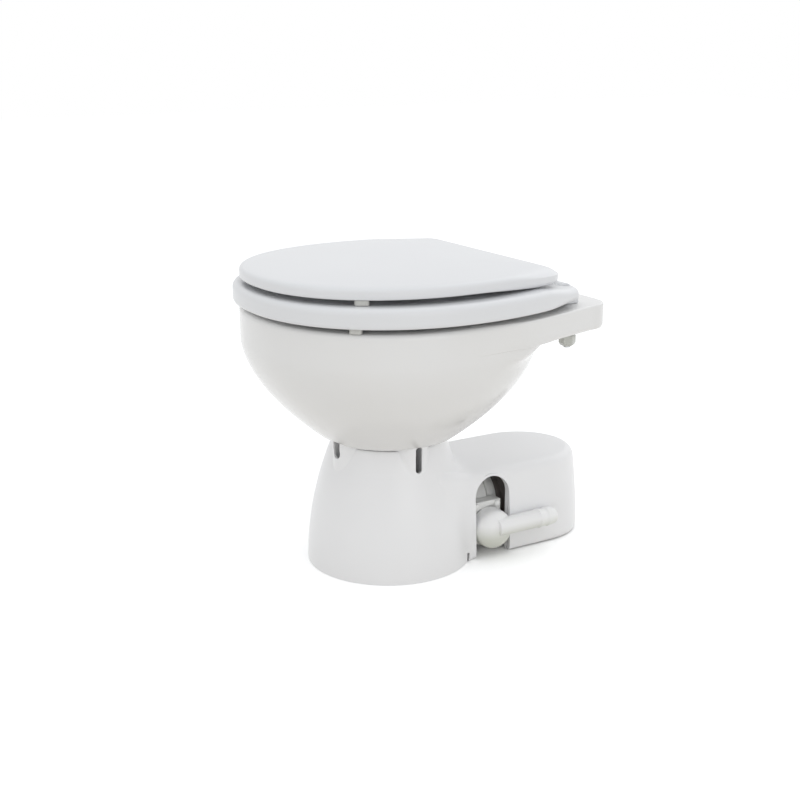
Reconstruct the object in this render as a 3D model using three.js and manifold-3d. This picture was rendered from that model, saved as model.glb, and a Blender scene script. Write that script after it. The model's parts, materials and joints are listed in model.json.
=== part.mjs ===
// Electric marine toilet: a vitreous china bowl with a hinged seat and lid, on a moulded pedestal whose
// rear housing covers a macerator pump and its motor. Millimetres, +Z up, the front faces -Y.
import * as THREE from "three";
import { mergeVertices } from "three/addons/utils/BufferGeometryUtils.js";
import Module from "manifold-3d";

const wasm = await Module();
wasm.setup();

// Driving dimensions. Y counts from the widest line of the seat; the last lines centre the whole part.
const seatWidth = 345;
const seatFront = 182;
const seatRear = 160;
const seatRearWidth = 262;
const seatThickness = 21.5;
const rimHeight = 302.8;
const pedestalHeight = 147;
const columnSetback = 13; // the axis of bowl, foot and pedestal lies this far in front of Y = 0
const housingHeight = 104;
const housingRear = 235;
const housingHalfWidth = 67.5;
const dischargeY = 88;
const dischargeHeight = 33.5;
const pumpAxisShare = 0.4808;
const maceratorShare = 0.3846;
const pumpAxisHeight = pumpAxisShare * housingHeight;
const maceratorRadius = maceratorShare * housingHeight;

// Fits: the gap between two seated pieces, the gap of a moving one, and the overrun of every cut.
const seatGap = 0.3;
const runGap = 0.5;
const overrun = 4;
const weldTolerance = 0.001;

// Facets round a circle: pieces that sit in one another share a count.
const spigotSteps = 24;
const pumpSteps = 16;
const motorSteps = 22;
const boltSteps = 12;

const columnY = -columnSetback;
const sides = [["right", -1], ["left", 1]];

const finishes = {
  china: { color: 0xdededf, roughness: 0.12 },
  seatResin: { color: 0xe2e2e4, roughness: 0.22 },
  baseMoulding: { color: 0xe0e0e2, roughness: 0.3 },
  whitePlastic: { color: 0xe4e4e2, roughness: 0.4 },
  elbowPlastic: { color: 0xd8dad4, roughness: 0.35 },
  blackPaint: { color: 0x2a2727, roughness: 0.45 },
  blackPlastic: { color: 0x242322, roughness: 0.5 },
  rubber: { color: 0x2b2b2a, roughness: 0.85 },
  clearRubber: { color: 0xd2d2cd, roughness: 0.6 },
  magnet: { color: 0x4a4a4c, roughness: 0.6 },
  steel: { color: 0xb9babc, roughness: 0.28, metalness: 1 },
};
const materials = Object.fromEntries(
  Object.entries(finishes).map(([name, look]) => [name, new THREE.MeshStandardMaterial({ name, ...look })]),
);

const toilet = new THREE.Group();

// A closed geometry as a manifold solid, with its doubled vertices merged and its faces turned outwards.
function solid(geometry) {
  const bare = new THREE.BufferGeometry();
  bare.setAttribute("position", geometry.getAttribute("position").clone());
  if (geometry.index) bare.setIndex(geometry.index.clone());
  const merged = mergeVertices(bare, weldTolerance);
  const p = merged.getAttribute("position").array;
  const corners = merged.index.array;
  const kept = [];
  let sixVolumes = 0;
  for (let i = 0; i < corners.length; i += 3) {
    const [a, b, c] = corners.subarray(i, i + 3);
    if (a === b || b === c || c === a) continue;
    kept.push(a, b, c);
    const [va, vb, vc] = [a, b, c].map((k) => new THREE.Vector3().fromArray(p, k * 3));
    sixVolumes += va.dot(vb.cross(vc));
  }
  if (sixVolumes < 0) {
    for (let i = 0; i < kept.length; i += 3) [kept[i + 1], kept[i + 2]] = [kept[i + 2], kept[i + 1]];
  }
  const mesh = new wasm.Mesh({ numProp: 3, vertProperties: p, triVerts: new Uint32Array(kept) });
  return new wasm.Manifold(mesh);
}

// A finished solid becomes one named mesh of the part.
function piece(name, body, finish) {
  const { vertProperties, triVerts } = body.getMesh();
  const geometry = new THREE.BufferGeometry();
  geometry.setAttribute("position", new THREE.BufferAttribute(vertProperties, 3));
  geometry.setIndex(new THREE.BufferAttribute(triVerts, 1));
  geometry.computeVertexNormals();
  const mesh = new THREE.Mesh(geometry, materials[finish]);
  mesh.name = name;
  toilet.add(mesh);
}

const joined = (...bodies) => bodies.reduce((a, b) => a.add(b));
const cut = (body, ...tools) => tools.reduce((a, b) => a.subtract(b), body);

// Turns a geometry made about Z so that its axis runs along +X or along +Y, or leaves it along +Z.
const along = {
  x: (geometry) => geometry.rotateY(Math.PI / 2),
  y: (geometry) => geometry.rotateX(-Math.PI / 2),
  z: (geometry) => geometry,
};

// A profile of [radius, distance] pairs turned about an axis through a point. A profile that starts on the
// axis ends on it too; any other one closes on itself and leaves a bore.
function turnedAt(axis, profile, [x, y, z], steps = 24) {
  const points = profile.map(([radius, distance]) => new THREE.Vector2(radius, distance));
  if (profile[0][0] > 0) points.push(points[0]);
  const lathe = new THREE.LatheGeometry(points, steps).rotateX(Math.PI / 2);
  return solid(along[axis](lathe).translate(x, y, z));
}

// A rod and a tube from their start, along one axis, and a ball.
function rod(axis, radius, length, start, steps = 18) {
  return turnedAt(axis, [[0, 0], [radius, 0], [radius, length], [0, length]], start, steps);
}
function tube(axis, outer, inner, length, start, steps = 18) {
  return turnedAt(axis, [[inner, 0], [outer, 0], [outer, length], [inner, length]], start, steps);
}
function ball(radius, [x, y, z], steps = 16) {
  return solid(new THREE.SphereGeometry(radius, steps, steps / 2).translate(x, y, z));
}
const centredRod = (radius, length, x, y, z, steps) => rod("x", radius, length, [x - length / 2, y, z], steps);

// A box between two corners.
function block([x0, y0, z0], [x1, y1, z1]) {
  const box = new THREE.BoxGeometry(x1 - x0, y1 - y0, z1 - z0);
  return solid(box.translate((x0 + x1) / 2, (y0 + y1) / 2, (z0 + z1) / 2));
}

// A loft through rings that each have as many points, closed by a flat fan at both ends.
function loft(rings) {
  const steps = rings[0].length;
  const centre = (ring) => ring.reduce((sum, q) => sum.add(q), new THREE.Vector3()).divideScalar(steps);
  const vertices = [...rings.flat(), centre(rings[0]), centre(rings.at(-1))];
  const indices = [];
  const first = vertices.length - 2;
  const last = vertices.length - 1;
  const top = (rings.length - 1) * steps;
  for (let i = 0; i < steps; i += 1) {
    const next = (i + 1) % steps;
    for (let r = 0; r < rings.length - 1; r += 1) {
      const [a, b] = [r * steps + i, r * steps + next];
      indices.push(a, b, b + steps, a, b + steps, a + steps);
    }
    indices.push(first, next, i, last, top + i, top + next);
  }
  const geometry = new THREE.BufferGeometry().setFromPoints(vertices);
  geometry.setIndex(indices);
  return solid(geometry);
}

// A level superellipse ring: fullness 2 is an ellipse, more is squarer. The rear half may be squarer still.
function ovalRing(halfWidth, halfLength, fullness, y, z, steps, rearFullness = fullness) {
  return Array.from({ length: steps }, (_, i) => {
    const [c, s] = [Math.cos((2 * Math.PI * i) / steps), Math.sin((2 * Math.PI * i) / steps)];
    const power = 2 / (s > 0 ? rearFullness : fullness);
    return new THREE.Vector3(
      halfWidth * Math.sign(c) * Math.abs(c) ** power,
      y + halfLength * Math.sign(s) * Math.abs(s) ** power,
      z,
    );
  });
}

// A ring from its left half, [x, y] pairs that start and end on the middle line. Its height may follow y.
function mirroredRing(half, heightAt) {
  const near = half.map(([x, y]) => new THREE.Vector3(x, y, heightAt(y)));
  const far = near.slice(1, -1).reverse().map(({ x, y, z }) => new THREE.Vector3(-x, y, z));
  return [...near, ...far];
}

// Points of an arc in an outline or a profile, angles in degrees.
function arc(x, y, radius, from, to, steps = 4) {
  return Array.from({ length: steps + 1 }, (_, i) => {
    const t = THREE.MathUtils.degToRad(from + ((to - from) * i) / steps);
    return [x + radius * Math.cos(t), y + radius * Math.sin(t)];
  });
}

// Rounding of an upper edge: [inset, drop] pairs from the side wall to the flat top.
const edgeRound = (radius, steps = 3) =>
  arc(radius, -radius, radius, 180, 90, steps).map(([inset, y]) => [inset, -y]);

// The plan of seat and lid: a full oval front, sides that draw in to the rear, round rear corners and a
// straight rear edge. Inset draws the whole outline in.
const frontFullness = 2.19;
const sideTaperPower = 1.95;
const frontSteps = 9;
const sideSteps = 4;
const cornerSteps = 4;
function seatRing({ width, front, rear, rearWidth, corner }, inset, z) {
  const halfFront = width / 2 - inset;
  const halfRear = rearWidth / 2 - inset;
  const [ahead, behind] = [front - inset, rear - inset];
  const round = Math.max(corner - inset, corner / 4);
  const half = [];
  for (let i = 0; i < frontSteps; i += 1) {
    const t = (i / frontSteps) * (Math.PI / 2);
    const power = 2 / frontFullness;
    half.push([halfFront * Math.sin(t) ** power, -ahead * Math.cos(t) ** power]);
  }
  for (let i = 0; i <= sideSteps; i += 1) {
    const y = ((behind - round) * i) / sideSteps;
    half.push([halfFront - (halfFront - halfRear) * (y / behind) ** sideTaperPower, y]);
  }
  const [cornerX] = half.at(-1);
  half.push(...arc(cornerX - round, behind - round, round, 0, 90, cornerSteps).slice(1));
  half.push([(cornerX - round) / 2, behind], [0, behind]);
  return mirroredRing(half, () => z);
}

// Bowl. The outer wall swells from a round foot to the rim by a power curve, and the rim runs out into a
// deck for the seat hinges. The basin hangs under a boxed rim and drains through a spigot.
const gasketThickness = 2;
const seatOverhang = 6.7;
const rimFullness = 2.15;
const rimRearFullness = 4;
const rimEdgeRadius = 5;
const rimFace = 35;
const rimWidth = 40;
const rimBox = 30;
const bowlFootRadius = 73;
const bowlCurvePower = 1.78;
const chinaWall = 10;
const bowlSteps = 32;
const basinFloorThickness = 9;
const outletRadius = 24;
const spigotRadius = 32;
const spigotLength = 14;
const deckRear = 194;
const deckHalfWidth = 127;
const deckThickness = 26.4;
const deckDeepening = 2.6;
const deckTaperFrom = 60;
const deckTaperPower = 1.16;
const deckSideSteps = 8;
const deckCornerRadius = 9;
const deckRoot = -columnSetback;
const deckEdge = 2.5;
const bowlBottom = pedestalHeight + gasketThickness + 2 * seatGap;
const rimHalfWidth = seatWidth / 2 - seatOverhang;
const rimHalfLength = seatFront - seatOverhang - columnSetback;
const shoulderHeight = rimHeight - rimFace;
const rimUnderside = rimHeight - rimBox;
const deckUnderside = rimHeight - deckThickness;

// A ring of the bowl wall at a share of the way from the foot to the shoulder, drawn in by inset. Towards
// the rim its rear half squares out to meet the sides of the deck.
const squareFromShare = 0.92;
function bowlRing(rise, inset, z = bowlBottom + rise * (shoulderHeight - bowlBottom)) {
  const swell = 1 - (1 - rise) ** bowlCurvePower;
  const reach = (rim) => bowlFootRadius + (rim - bowlFootRadius) * swell - inset;
  const fullness = 2 + (rimFullness - 2) * swell;
  const square = Math.max(0, rise - squareFromShare) / (1 - squareFromShare);
  const rearFullness = fullness + (rimRearFullness - fullness) * square;
  return ovalRing(reach(rimHalfWidth), reach(rimHalfLength), fullness, columnY, z, bowlSteps, rearFullness);
}

// A ring of the deck: its sides leave the rim, taper to the rear and end in round corners. Its underside
// deepens a little towards the bowl.
function deckRing(inset, z, deepening) {
  const sideX = (y) => {
    const share = Math.max(0, y - deckTaperFrom) / (deckRear - deckTaperFrom);
    return rimHalfWidth - (rimHalfWidth - deckHalfWidth) * share ** deckTaperPower - inset;
  };
  const straightEnd = deckRear - deckCornerRadius;
  const half = [[0, deckRoot]];
  for (let i = 0; i <= deckSideSteps; i += 1) {
    const y = deckRoot + ((straightEnd - deckRoot) * i) / deckSideSteps;
    half.push([sideX(y), y]);
  }
  const round = deckCornerRadius - inset;
  half.push(...arc(sideX(straightEnd) - round, straightEnd, round, 0, 90, 4).slice(1), [0, deckRear - inset]);
  return mirroredRing(half, (y) => z - (deepening * (deckRear - y)) / (deckRear - deckRoot));
}

// Studs in the bowl foot hold it to four slotted bosses of the pedestal.
const bossRadius = 19.5;
const bossReach = 56;
const bossEarHeight = 8;
const studRadius = 2.5;
const studHole = studRadius + seatGap;
const studDepth = 8;
const bossTurn = -2.5;
const bossSides = [["front", -90], ["left", 0], ["rear", 90], ["right", 180]];
const bosses = bossSides.map(([place, azimuth]) => [place, azimuth + bossTurn]);
const bossPlace = (azimuth) => {
  const t = THREE.MathUtils.degToRad(azimuth);
  return [bossReach * Math.cos(t), columnY + bossReach * Math.sin(t)];
};

// Seat hinges: a post on the deck carries each pin, and a stud through the deck holds the post.
const rimToSeat = 6.2;
const seatBottom = rimHeight + rimToSeat;
const seatTop = seatBottom + seatThickness;
const barrelRadius = (seatTop - rimHeight - runGap) / 2;
const seatAxisY = seatRear - barrelRadius;
const seatAxisZ = seatTop - barrelRadius;
const hingeSpread = 106;
const hingeWidth = 22;
const hingeStudRadius = 4;
const hingeStudSetback = 13;
const hingeStudY = seatAxisY + hingeStudSetback;
const hingePinRadius = 3;
const hingeStudTop = seatAxisZ - hingePinRadius - hingeStudRadius;
const hingeXs = [-hingeSpread, hingeSpread];

// Flush water inlet: a hose elbow in a rubber grommet, high on the back of the bowl under the deck.
const inletDrop = 50.8;
const inletHeight = rimHeight - inletDrop;
const inletRadius = 9.5;
const grommetWall = 4;
const inletHole = inletRadius + grommetWall + 2 * seatGap;

function bowl() {
  const riseShares = [0, 0.12, 0.26, 0.42, 0.59, 0.76, 0.92, 1];
  const top = edgeRound(rimEdgeRadius).map(([inset, drop]) => bowlRing(1, inset, rimHeight - drop));
  const outside = loft([...riseShares.map((rise) => bowlRing(rise, 0)), ...top]);
  const deck = loft([
    deckRing(deckEdge, deckUnderside, deckDeepening),
    deckRing(0, deckUnderside + deckEdge, deckDeepening),
    deckRing(0, rimHeight - deckEdge, 0),
    deckRing(deckEdge, rimHeight, 0),
  ]);
  const spigotBottom = bowlBottom - spigotLength;
  const spigot = rod("z", spigotRadius, spigotLength + overrun, [0, columnY, spigotBottom], spigotSteps);

  const floor = bowlBottom + basinFloorThickness;
  const floorRadius = bowlFootRadius - chinaWall;
  const basinShares = [0.22, 0.45, 0.72];
  const basin = loft([
    ovalRing(outletRadius, outletRadius, 2, columnY, floor, bowlSteps),
    ovalRing(floorRadius, floorRadius, 2, columnY, floor + chinaWall / 2, bowlSteps),
    ...basinShares.map((rise) => bowlRing(rise, chinaWall)),
    bowlRing(1, chinaWall),
    bowlRing(1, chinaWall, rimUnderside),
  ]);
  const mouth = loft([
    bowlRing(1, rimWidth + rimEdgeRadius / 2, rimUnderside - overrun),
    bowlRing(1, rimWidth, rimUnderside + rimEdgeRadius),
    bowlRing(1, rimWidth, rimHeight - rimEdgeRadius),
    bowlRing(1, rimWidth - rimEdgeRadius / 3, rimHeight - rimEdgeRadius / 3),
    bowlRing(1, rimWidth - rimEdgeRadius, rimHeight + overrun),
  ]);
  const outletLength = spigotLength + basinFloorThickness + 2 * overrun;
  const outlet = rod("z", outletRadius, outletLength, [0, columnY, spigotBottom - overrun]);
  const studHoles = bosses.map(([, azimuth]) => {
    const [x, y] = bossPlace(azimuth);
    return rod("z", studHole, studDepth + overrun, [x, y, bowlBottom - overrun], 12);
  });
  const hingeHoleLength = deckThickness + deckDeepening + 2 * overrun;
  const hingeHoles = hingeXs.map((x) => {
    const start = [x, hingeStudY, rimHeight + overrun - hingeHoleLength];
    return rod("z", hingeStudRadius + seatGap, hingeHoleLength, start, 16);
  });
  const inletBore = rod("y", inletHole, rimWidth, [0, columnY + rimHalfLength - rimWidth + overrun, inletHeight]);
  const ears = bosses.map(([, azimuth]) => {
    const [x, y] = bossPlace(azimuth);
    const shape = [[0, 0], [bossRadius, 0], [bossRadius, bossEarHeight / 2], [bossReach / 4, bossEarHeight], [0, bossEarHeight]];
    return turnedAt("z", shape, [x, y, bowlBottom], 16);
  });
  return cut(joined(outside, deck, spigot, ...ears), basin, mouth, outlet, inletBore, ...studHoles, ...hingeHoles);
}
piece("bowl", bowl(), "china");

// Seat: one thick moulded ring. Its rear end is a barrel about the hinge axis, so that it closes the gap to
// the deck and still turns, and two lugs on its top carry the lid.
const seatCorner = 23;
const seatEdgeRadius = 7;
const seatLowerEdge = 3;
const seatOpeningWidth = 228;
const seatOpeningFront = 122;
const seatOpeningRear = 108;
const seatOpeningFullness = 2.2;
const seatOpeningFlare = 9;
const seatOpeningSteps = 32;
const seatPlan = { width: seatWidth, front: seatFront, rear: seatRear, rearWidth: seatRearWidth, corner: seatCorner };
const knuckleGap = 1;
const hingePinLength = 58;

// Lid: a shallow moulded cover with a gently domed top, hinged to the seat by its own thinner barrel.
const lidWidth = 312;
const lidFront = 176;
const lidRear = 131.5;
const lidRearWidth = 255;
const lidCorner = 22;
const lidGap = 6.1;
const lidEdgeHeight = 12;
const lidEdgeRadius = 5;
const lidWall = 4;
const lidDome = 5;
const lidBarrelRadius = 6.2;
const lidHingeSpread = 77;
const lidLugWidth = 18;
const lidPinRadius = 2;
const lidPinLength = 46;
const lidPlan = { width: lidWidth, front: lidFront, rear: lidRear, rearWidth: lidRearWidth, corner: lidCorner };
const lidBottom = seatTop + lidGap;
const lidEdgeTop = lidBottom + lidEdgeHeight;
const lidAxisY = lidRear - lidBarrelRadius;
const lidAxisZ = seatTop + seatGap + lidBarrelRadius;
const lidHingeXs = [-lidHingeSpread, lidHingeSpread];

function seat() {
  const top = edgeRound(seatEdgeRadius).map(([inset, drop]) => seatRing(seatPlan, inset, seatTop - drop));
  const slab = loft([
    seatRing(seatPlan, seatLowerEdge, seatBottom),
    seatRing(seatPlan, 0, seatBottom + seatLowerEdge),
    ...top,
  ]);
  const outline = loft([seatRing(seatPlan, 0, rimHeight), seatRing(seatPlan, 0, seatTop + overrun)]);
  const behindAxis = block(
    [-seatWidth, seatAxisY, rimHeight],
    [seatWidth, seatRear + overrun, seatTop + overrun],
  );
  const barrel = centredRod(barrelRadius, seatWidth, 0, seatAxisY, seatAxisZ, 32).intersect(outline);
  const reach = (seatOpeningFront + seatOpeningRear) / 2;
  const middle = (seatOpeningRear - seatOpeningFront) / 2;
  const opening = (inset, z) =>
    ovalRing(seatOpeningWidth / 2 - inset, reach - inset, seatOpeningFullness, middle, z, seatOpeningSteps);
  const hole = loft([
    opening(0, seatBottom - overrun),
    opening(0, seatTop - seatEdgeRadius),
    opening(-seatOpeningFlare / 3, seatTop - seatEdgeRadius / 3),
    opening(-seatOpeningFlare, seatTop + seatEdgeRadius / 3),
  ]);
  const notches = hingeXs.map((x) =>
    centredRod(barrelRadius + knuckleGap, hingeWidth + 2 * knuckleGap, x, seatAxisY, seatAxisZ, 20),
  );
  const bores = hingeXs.map((x) =>
    centredRod(hingePinRadius + seatGap, hingePinLength + 2 * seatGap, x, seatAxisY, seatAxisZ, 12),
  );
  const lugs = lidHingeXs.map((x) => {
    const radius = lidBarrelRadius - seatGap;
    const eye = centredRod(radius, lidLugWidth, x, lidAxisY, lidAxisZ, 20);
    const web = block(
      [x - lidLugWidth / 2, lidAxisY - radius, seatTop - seatLowerEdge],
      [x + lidLugWidth / 2, lidAxisY + lidPinRadius, lidAxisZ],
    );
    const bore = centredRod(lidPinRadius + seatGap, lidLugWidth + overrun, x, lidAxisY, lidAxisZ, 12);
    return cut(eye.add(web), bore);
  });
  return cut(joined(cut(slab, behindAxis), barrel, ...lugs), hole, ...notches, ...bores);
}
piece("seat", seat(), "seatResin");

function lid() {
  const top = edgeRound(lidEdgeRadius).map(([inset, drop]) => seatRing(lidPlan, inset, lidEdgeTop - drop));
  const domeShares = [[0.22, 0.5], [0.6, 0.92]];
  const domeRing = ([inward, rise], drop) =>
    seatRing(lidPlan, (inward * lidWidth) / 2, lidEdgeTop + rise * lidDome - drop);
  const shell = loft([
    seatRing(lidPlan, lidEdgeRadius / 4, lidBottom),
    seatRing(lidPlan, 0, lidBottom + lidEdgeRadius / 4),
    ...top,
    ...domeShares.map((pair) => domeRing(pair, 0)),
  ]);
  const hollow = loft([
    seatRing(lidPlan, lidWall, lidBottom - overrun),
    seatRing(lidPlan, lidWall, lidEdgeTop - lidEdgeRadius - lidWall),
    seatRing(lidPlan, lidWall + lidEdgeRadius, lidEdgeTop - lidWall),
    ...domeShares.map((pair) => domeRing(pair, lidWall)),
  ]);
  const outline = loft([seatRing(lidPlan, 0, seatTop), seatRing(lidPlan, 0, lidEdgeTop)]);
  const barrel = centredRod(lidBarrelRadius, lidWidth, 0, lidAxisY, lidAxisZ, 20).intersect(outline);
  const notches = lidHingeXs.flatMap((x) => {
    const half = lidLugWidth / 2 + seatGap;
    const round = centredRod(lidBarrelRadius + seatGap, 2 * half, x, lidAxisY, lidAxisZ, 20);
    const web = block(
      [x - half, lidAxisY - lidBarrelRadius, seatTop - overrun],
      [x + half, lidRear + overrun, lidAxisZ],
    );
    return [round, web];
  });
  const bores = lidHingeXs.map((x) =>
    centredRod(lidPinRadius + seatGap, lidPinLength + 2 * seatGap, x, lidAxisY, lidAxisZ, 12),
  );
  return cut(shell.subtract(hollow).add(barrel), ...notches, ...bores);
}
piece("lid", lid(), "seatResin");

// Hinge hardware, one set on each side: post, pin, stud, washer and nut, and the lid's own pin.
const postFoot = 19;
const postFootHeight = 11;
const hingeNutRadius = 9;
const hingeNutHeight = 13;
const hingeNutCone = 2;
const hingeWasherRadius = 12;
const hingeWasherHeight = 11;
for (const [side, sign] of sides) {
  const x = sign * hingeSpread;
  const [x0, x1] = [x - hingeWidth / 2, x + hingeWidth / 2];
  const knuckle = centredRod(barrelRadius, hingeWidth, x, seatAxisY, seatAxisZ, 20);
  const foot = block(
    [x0, seatAxisY, rimHeight + seatGap],
    [x1, seatAxisY + postFoot, rimHeight + postFootHeight],
  );
  const below = block(
    [x0 - overrun, seatAxisY - 2 * barrelRadius, rimHeight - barrelRadius],
    [x1 + overrun, seatAxisY + 2 * barrelRadius, rimHeight + seatGap],
  );
  const bore = hingeStudRadius + seatGap;
  const pinBore = centredRod(hingePinRadius + seatGap, hingeWidth + overrun, x, seatAxisY, seatAxisZ, 12);
  const studBoreLength = hingeStudTop + seatGap - rimHeight + overrun;
  const studBore = rod("z", bore, studBoreLength, [x, hingeStudY, rimHeight - overrun], 16);
  piece(`hinge_post_${side}`, cut(knuckle.add(foot), below, pinBore, studBore), "seatResin");
  const pin = centredRod(hingePinRadius, hingePinLength, x, seatAxisY, seatAxisZ, 12);
  piece(`hinge_pin_${side}`, pin, "steel");

  const deckBottom = deckUnderside - (deckDeepening * (deckRear - hingeStudY)) / (deckRear - deckRoot);
  const washerTop = deckBottom - seatGap;
  const nutTop = washerTop - hingeWasherHeight - seatGap;
  const nutBottom = nutTop - hingeNutHeight;
  const stud = rod("z", hingeStudRadius, hingeStudTop - nutBottom, [x, hingeStudY, nutBottom], 16);
  piece(`hinge_stud_${side}`, stud, "steel");
  const washerProfile = [
    [bore, -hingeWasherHeight],
    [hingeNutRadius - seatGap, -hingeWasherHeight],
    [hingeWasherRadius, -hingeWasherHeight / 3],
    [hingeWasherRadius, 0],
    [bore, 0],
  ];
  piece(`hinge_washer_${side}`, turnedAt("z", washerProfile, [x, hingeStudY, washerTop], 12), "whitePlastic");
  const nutProfile = [
    [bore, 0],
    [hingeNutRadius - hingeNutCone, 0],
    [hingeNutRadius, hingeNutCone],
    [hingeNutRadius, hingeNutHeight],
    [bore, hingeNutHeight],
  ];
  piece(`hinge_nut_${side}`, turnedAt("z", nutProfile, [x, hingeStudY, nutBottom], 10), "whitePlastic");
  const lidPin = centredRod(lidPinRadius, lidPinLength, sign * lidHingeSpread, lidAxisY, lidAxisZ, 12);
  piece(`lid_pin_${side}`, lidPin, "steel");
}

// Buffers: soft pads under the seat's and the lid's edge, each clipped into its own carrier. A station
// counts the points of the outline from the middle of the front edge.
const bufferWidth = 10;
const bufferRound = 2.5;
const seatBufferLength = 13;
const lidBufferLength = 15;
const seatBufferInset = 6;
const rearBufferInset = 24;
const lidBufferInset = 1.5;
const seatFrontShare = 0.523;
const lidFrontShare = 0.564;
const seatRearShare = 0.58;
const seatFrontStation = seatFrontShare * frontSteps;
const lidFrontStation = lidFrontShare * frontSteps;
const seatRearStation = frontSteps + seatRearShare * sideSteps;
function buffer(plan, station, inset, length, bottom, height, sign) {
  const ring = seatRing(plan, inset + bufferWidth / 2, 0);
  const from = ring[Math.floor(station)];
  const to = ring[Math.floor(station) + 1];
  const { x, y } = from.clone().lerp(to, station % 1).multiply(new THREE.Vector3(sign, 1, 1));
  const turn = Math.atan2(to.y - from.y, sign * (to.x - from.x));
  const [long, wide] = [length / 2 - bufferRound, bufferWidth / 2 - bufferRound];
  const corners = [[long, wide, 0], [-long, wide, 90], [-long, -wide, 180], [long, -wide, 270]];
  const outline = corners.flatMap(([cx, cy, from]) => arc(cx, cy, bufferRound, from, from + 90, 2));
  const shape = new THREE.Shape(outline.map(([px, py]) => new THREE.Vector2(px, py)));
  const geometry = new THREE.ExtrudeGeometry(shape, { depth: height, bevelEnabled: false });
  return solid(geometry.rotateZ(turn).translate(x, y, bottom));
}
for (const [side, sign] of sides) {
  const underSeat = [seatBufferLength, rimHeight + seatGap, rimToSeat - 2 * seatGap];
  const underLid = [lidBufferLength, seatTop + seatGap, lidGap - 2 * seatGap];
  const front = buffer(seatPlan, seatFrontStation, seatBufferInset, ...underSeat, sign);
  const rear = buffer(seatPlan, seatRearStation, rearBufferInset, ...underSeat, sign);
  const lidPad = buffer(lidPlan, lidFrontStation, lidBufferInset, ...underLid, sign);
  piece(`seat_buffer_front_${side}`, front, "clearRubber");
  piece(`seat_buffer_rear_${side}`, rear, "clearRubber");
  piece(`lid_buffer_${side}`, lidPad, "clearRubber");
}

// Pedestal: one moulding. A flared column carries the bowl on four slotted bosses, and behind it the same
// moulding makes a housing over pump and motor, with an arch on the left for the discharge elbow.
const columnBase = 95.5;
const columnTop = 65;
const columnSteps = 32;
const columnTopPlate = 8;
const baseWall = 4;
const collarHole = 42;
const sumpLip = 5;
const bossShare = 0.72;
const bossHeight = bossShare * (pedestalHeight - pumpAxisHeight - maceratorRadius);
const slotWidth = 9.8;
const slotShare = 0.61;
const slotHeight = slotShare * bossHeight;
const slotTopWall = 2.5;
const slotBack = 5.5;
const housingSideLean = 4.5;
const housingRearLean = 8;
const housingTuck = 1;
const housingTuckHeight = 8;
const housingEdgeRadius = 13;
const housingRearLength = 60;
const housingRearFullness = 4.2;
const housingWaistShare = 0.55;
const housingFront = 1;
const housingFrontCorner = 13;
const housingFlare = 12.5;
const housingFlareLength = 46;
const housingFlarePower = 1.3;
const shoulderRise = 11;
const shoulderLength = 70;
const archHalfWidth = 23.8;
const archTopShare = 0.9327;
const archTop = archTopShare * housingHeight;
const notchWidth = 2.5;
const notchHeight = 10;

const columnRadius = (z) => columnBase - (columnBase - columnTop) * (z / pedestalHeight) ** 2;
const columnHeights = [0, 0.25, 0.47, 0.67, 0.85, 1].map((share) => share * pedestalHeight);

// A ring of the housing. Its sides flare out towards the column and its rear is a full oval. Both lean in
// with height, and near the column the top rises to a shoulder.
const housingCornerSteps = 2;
const housingFlareSteps = 4;
const housingRearSteps = 8;
function housingRing(inset, drop) {
  const z = housingHeight - drop;
  const lean = (z / housingHeight) ** 2;
  const half = housingHalfWidth - lean * housingSideLean - inset;
  const rear = housingRear - lean * housingRearLean - inset;
  const bend = housingRear - housingRearLength;
  const front = housingFront + Math.min(inset, housingFrontCorner / 2);
  const flareStart = housingFront + housingFrontCorner;
  const flareEnd = flareStart + housingFlareLength;
  const flared = (y) => {
    const share = (flareEnd - y) / housingFlareLength;
    return half + housingFlare * Math.sin((share * Math.PI) / 2) ** housingFlarePower;
  };
  const corner = flareStart - front;
  const outline = [[0, front]];
  outline.push(...arc(flared(flareStart) - corner, flareStart, corner, -90, 0, housingCornerSteps));
  for (let i = 1; i <= housingFlareSteps; i += 1) {
    const y = flareStart + (housingFlareLength * i) / housingFlareSteps;
    outline.push([flared(y), y]);
  }
  for (let i = 0; i < housingRearSteps; i += 1) {
    const t = (i / housingRearSteps) * (Math.PI / 2);
    const power = 2 / housingRearFullness;
    outline.push([half * Math.cos(t) ** power, bend + (rear - bend) * Math.sin(t) ** power]);
  }
  outline.push([0, rear]);
  const rise = (y) => {
    const share = Math.min(1, Math.max(0, (housingFront + shoulderLength - y) / shoulderLength));
    return shoulderRise * lean * Math.sin((share * Math.PI) / 2) ** 2;
  };
  return mirroredRing(outline, (y) => z + rise(y));
}

// The closed outer form of the housing, drawn in by a wall for its cavity.
function housingForm(wall, bottom) {
  const heights = [housingTuckHeight, housingWaistShare * housingHeight];
  const round = edgeRound(housingEdgeRadius - wall, wall > 0 ? 2 : 3);
  const topInset = 3 * housingEdgeRadius;
  return loft([
    ...bottom,
    ...heights.map((z) => housingRing(wall, housingHeight - z)),
    ...round.map(([inset, drop]) => housingRing(wall + inset, wall + drop)),
    housingRing(topInset, wall),
  ]);
}

// A slot for a nut: a tall hole with a flat top and a round bottom, cut outwards through boss and wall.
function bossSlot(azimuth) {
  const half = slotWidth / 2;
  const high = pedestalHeight - slotTopWall;
  const shape = new THREE.Shape();
  shape.moveTo(half, high);
  shape.lineTo(-half, high);
  shape.absarc(0, high - slotHeight + half, half, Math.PI, 2 * Math.PI);
  const depth = columnBase - bossReach + slotBack;
  const geometry = new THREE.ExtrudeGeometry(shape, { depth, bevelEnabled: false, curveSegments: 3 });
  geometry.rotateX(Math.PI / 2).translate(0, slotBack - bossReach, 0);
  return solid(geometry.rotateZ(THREE.MathUtils.degToRad(azimuth + 90)).translate(0, columnY, 0));
}

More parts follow.
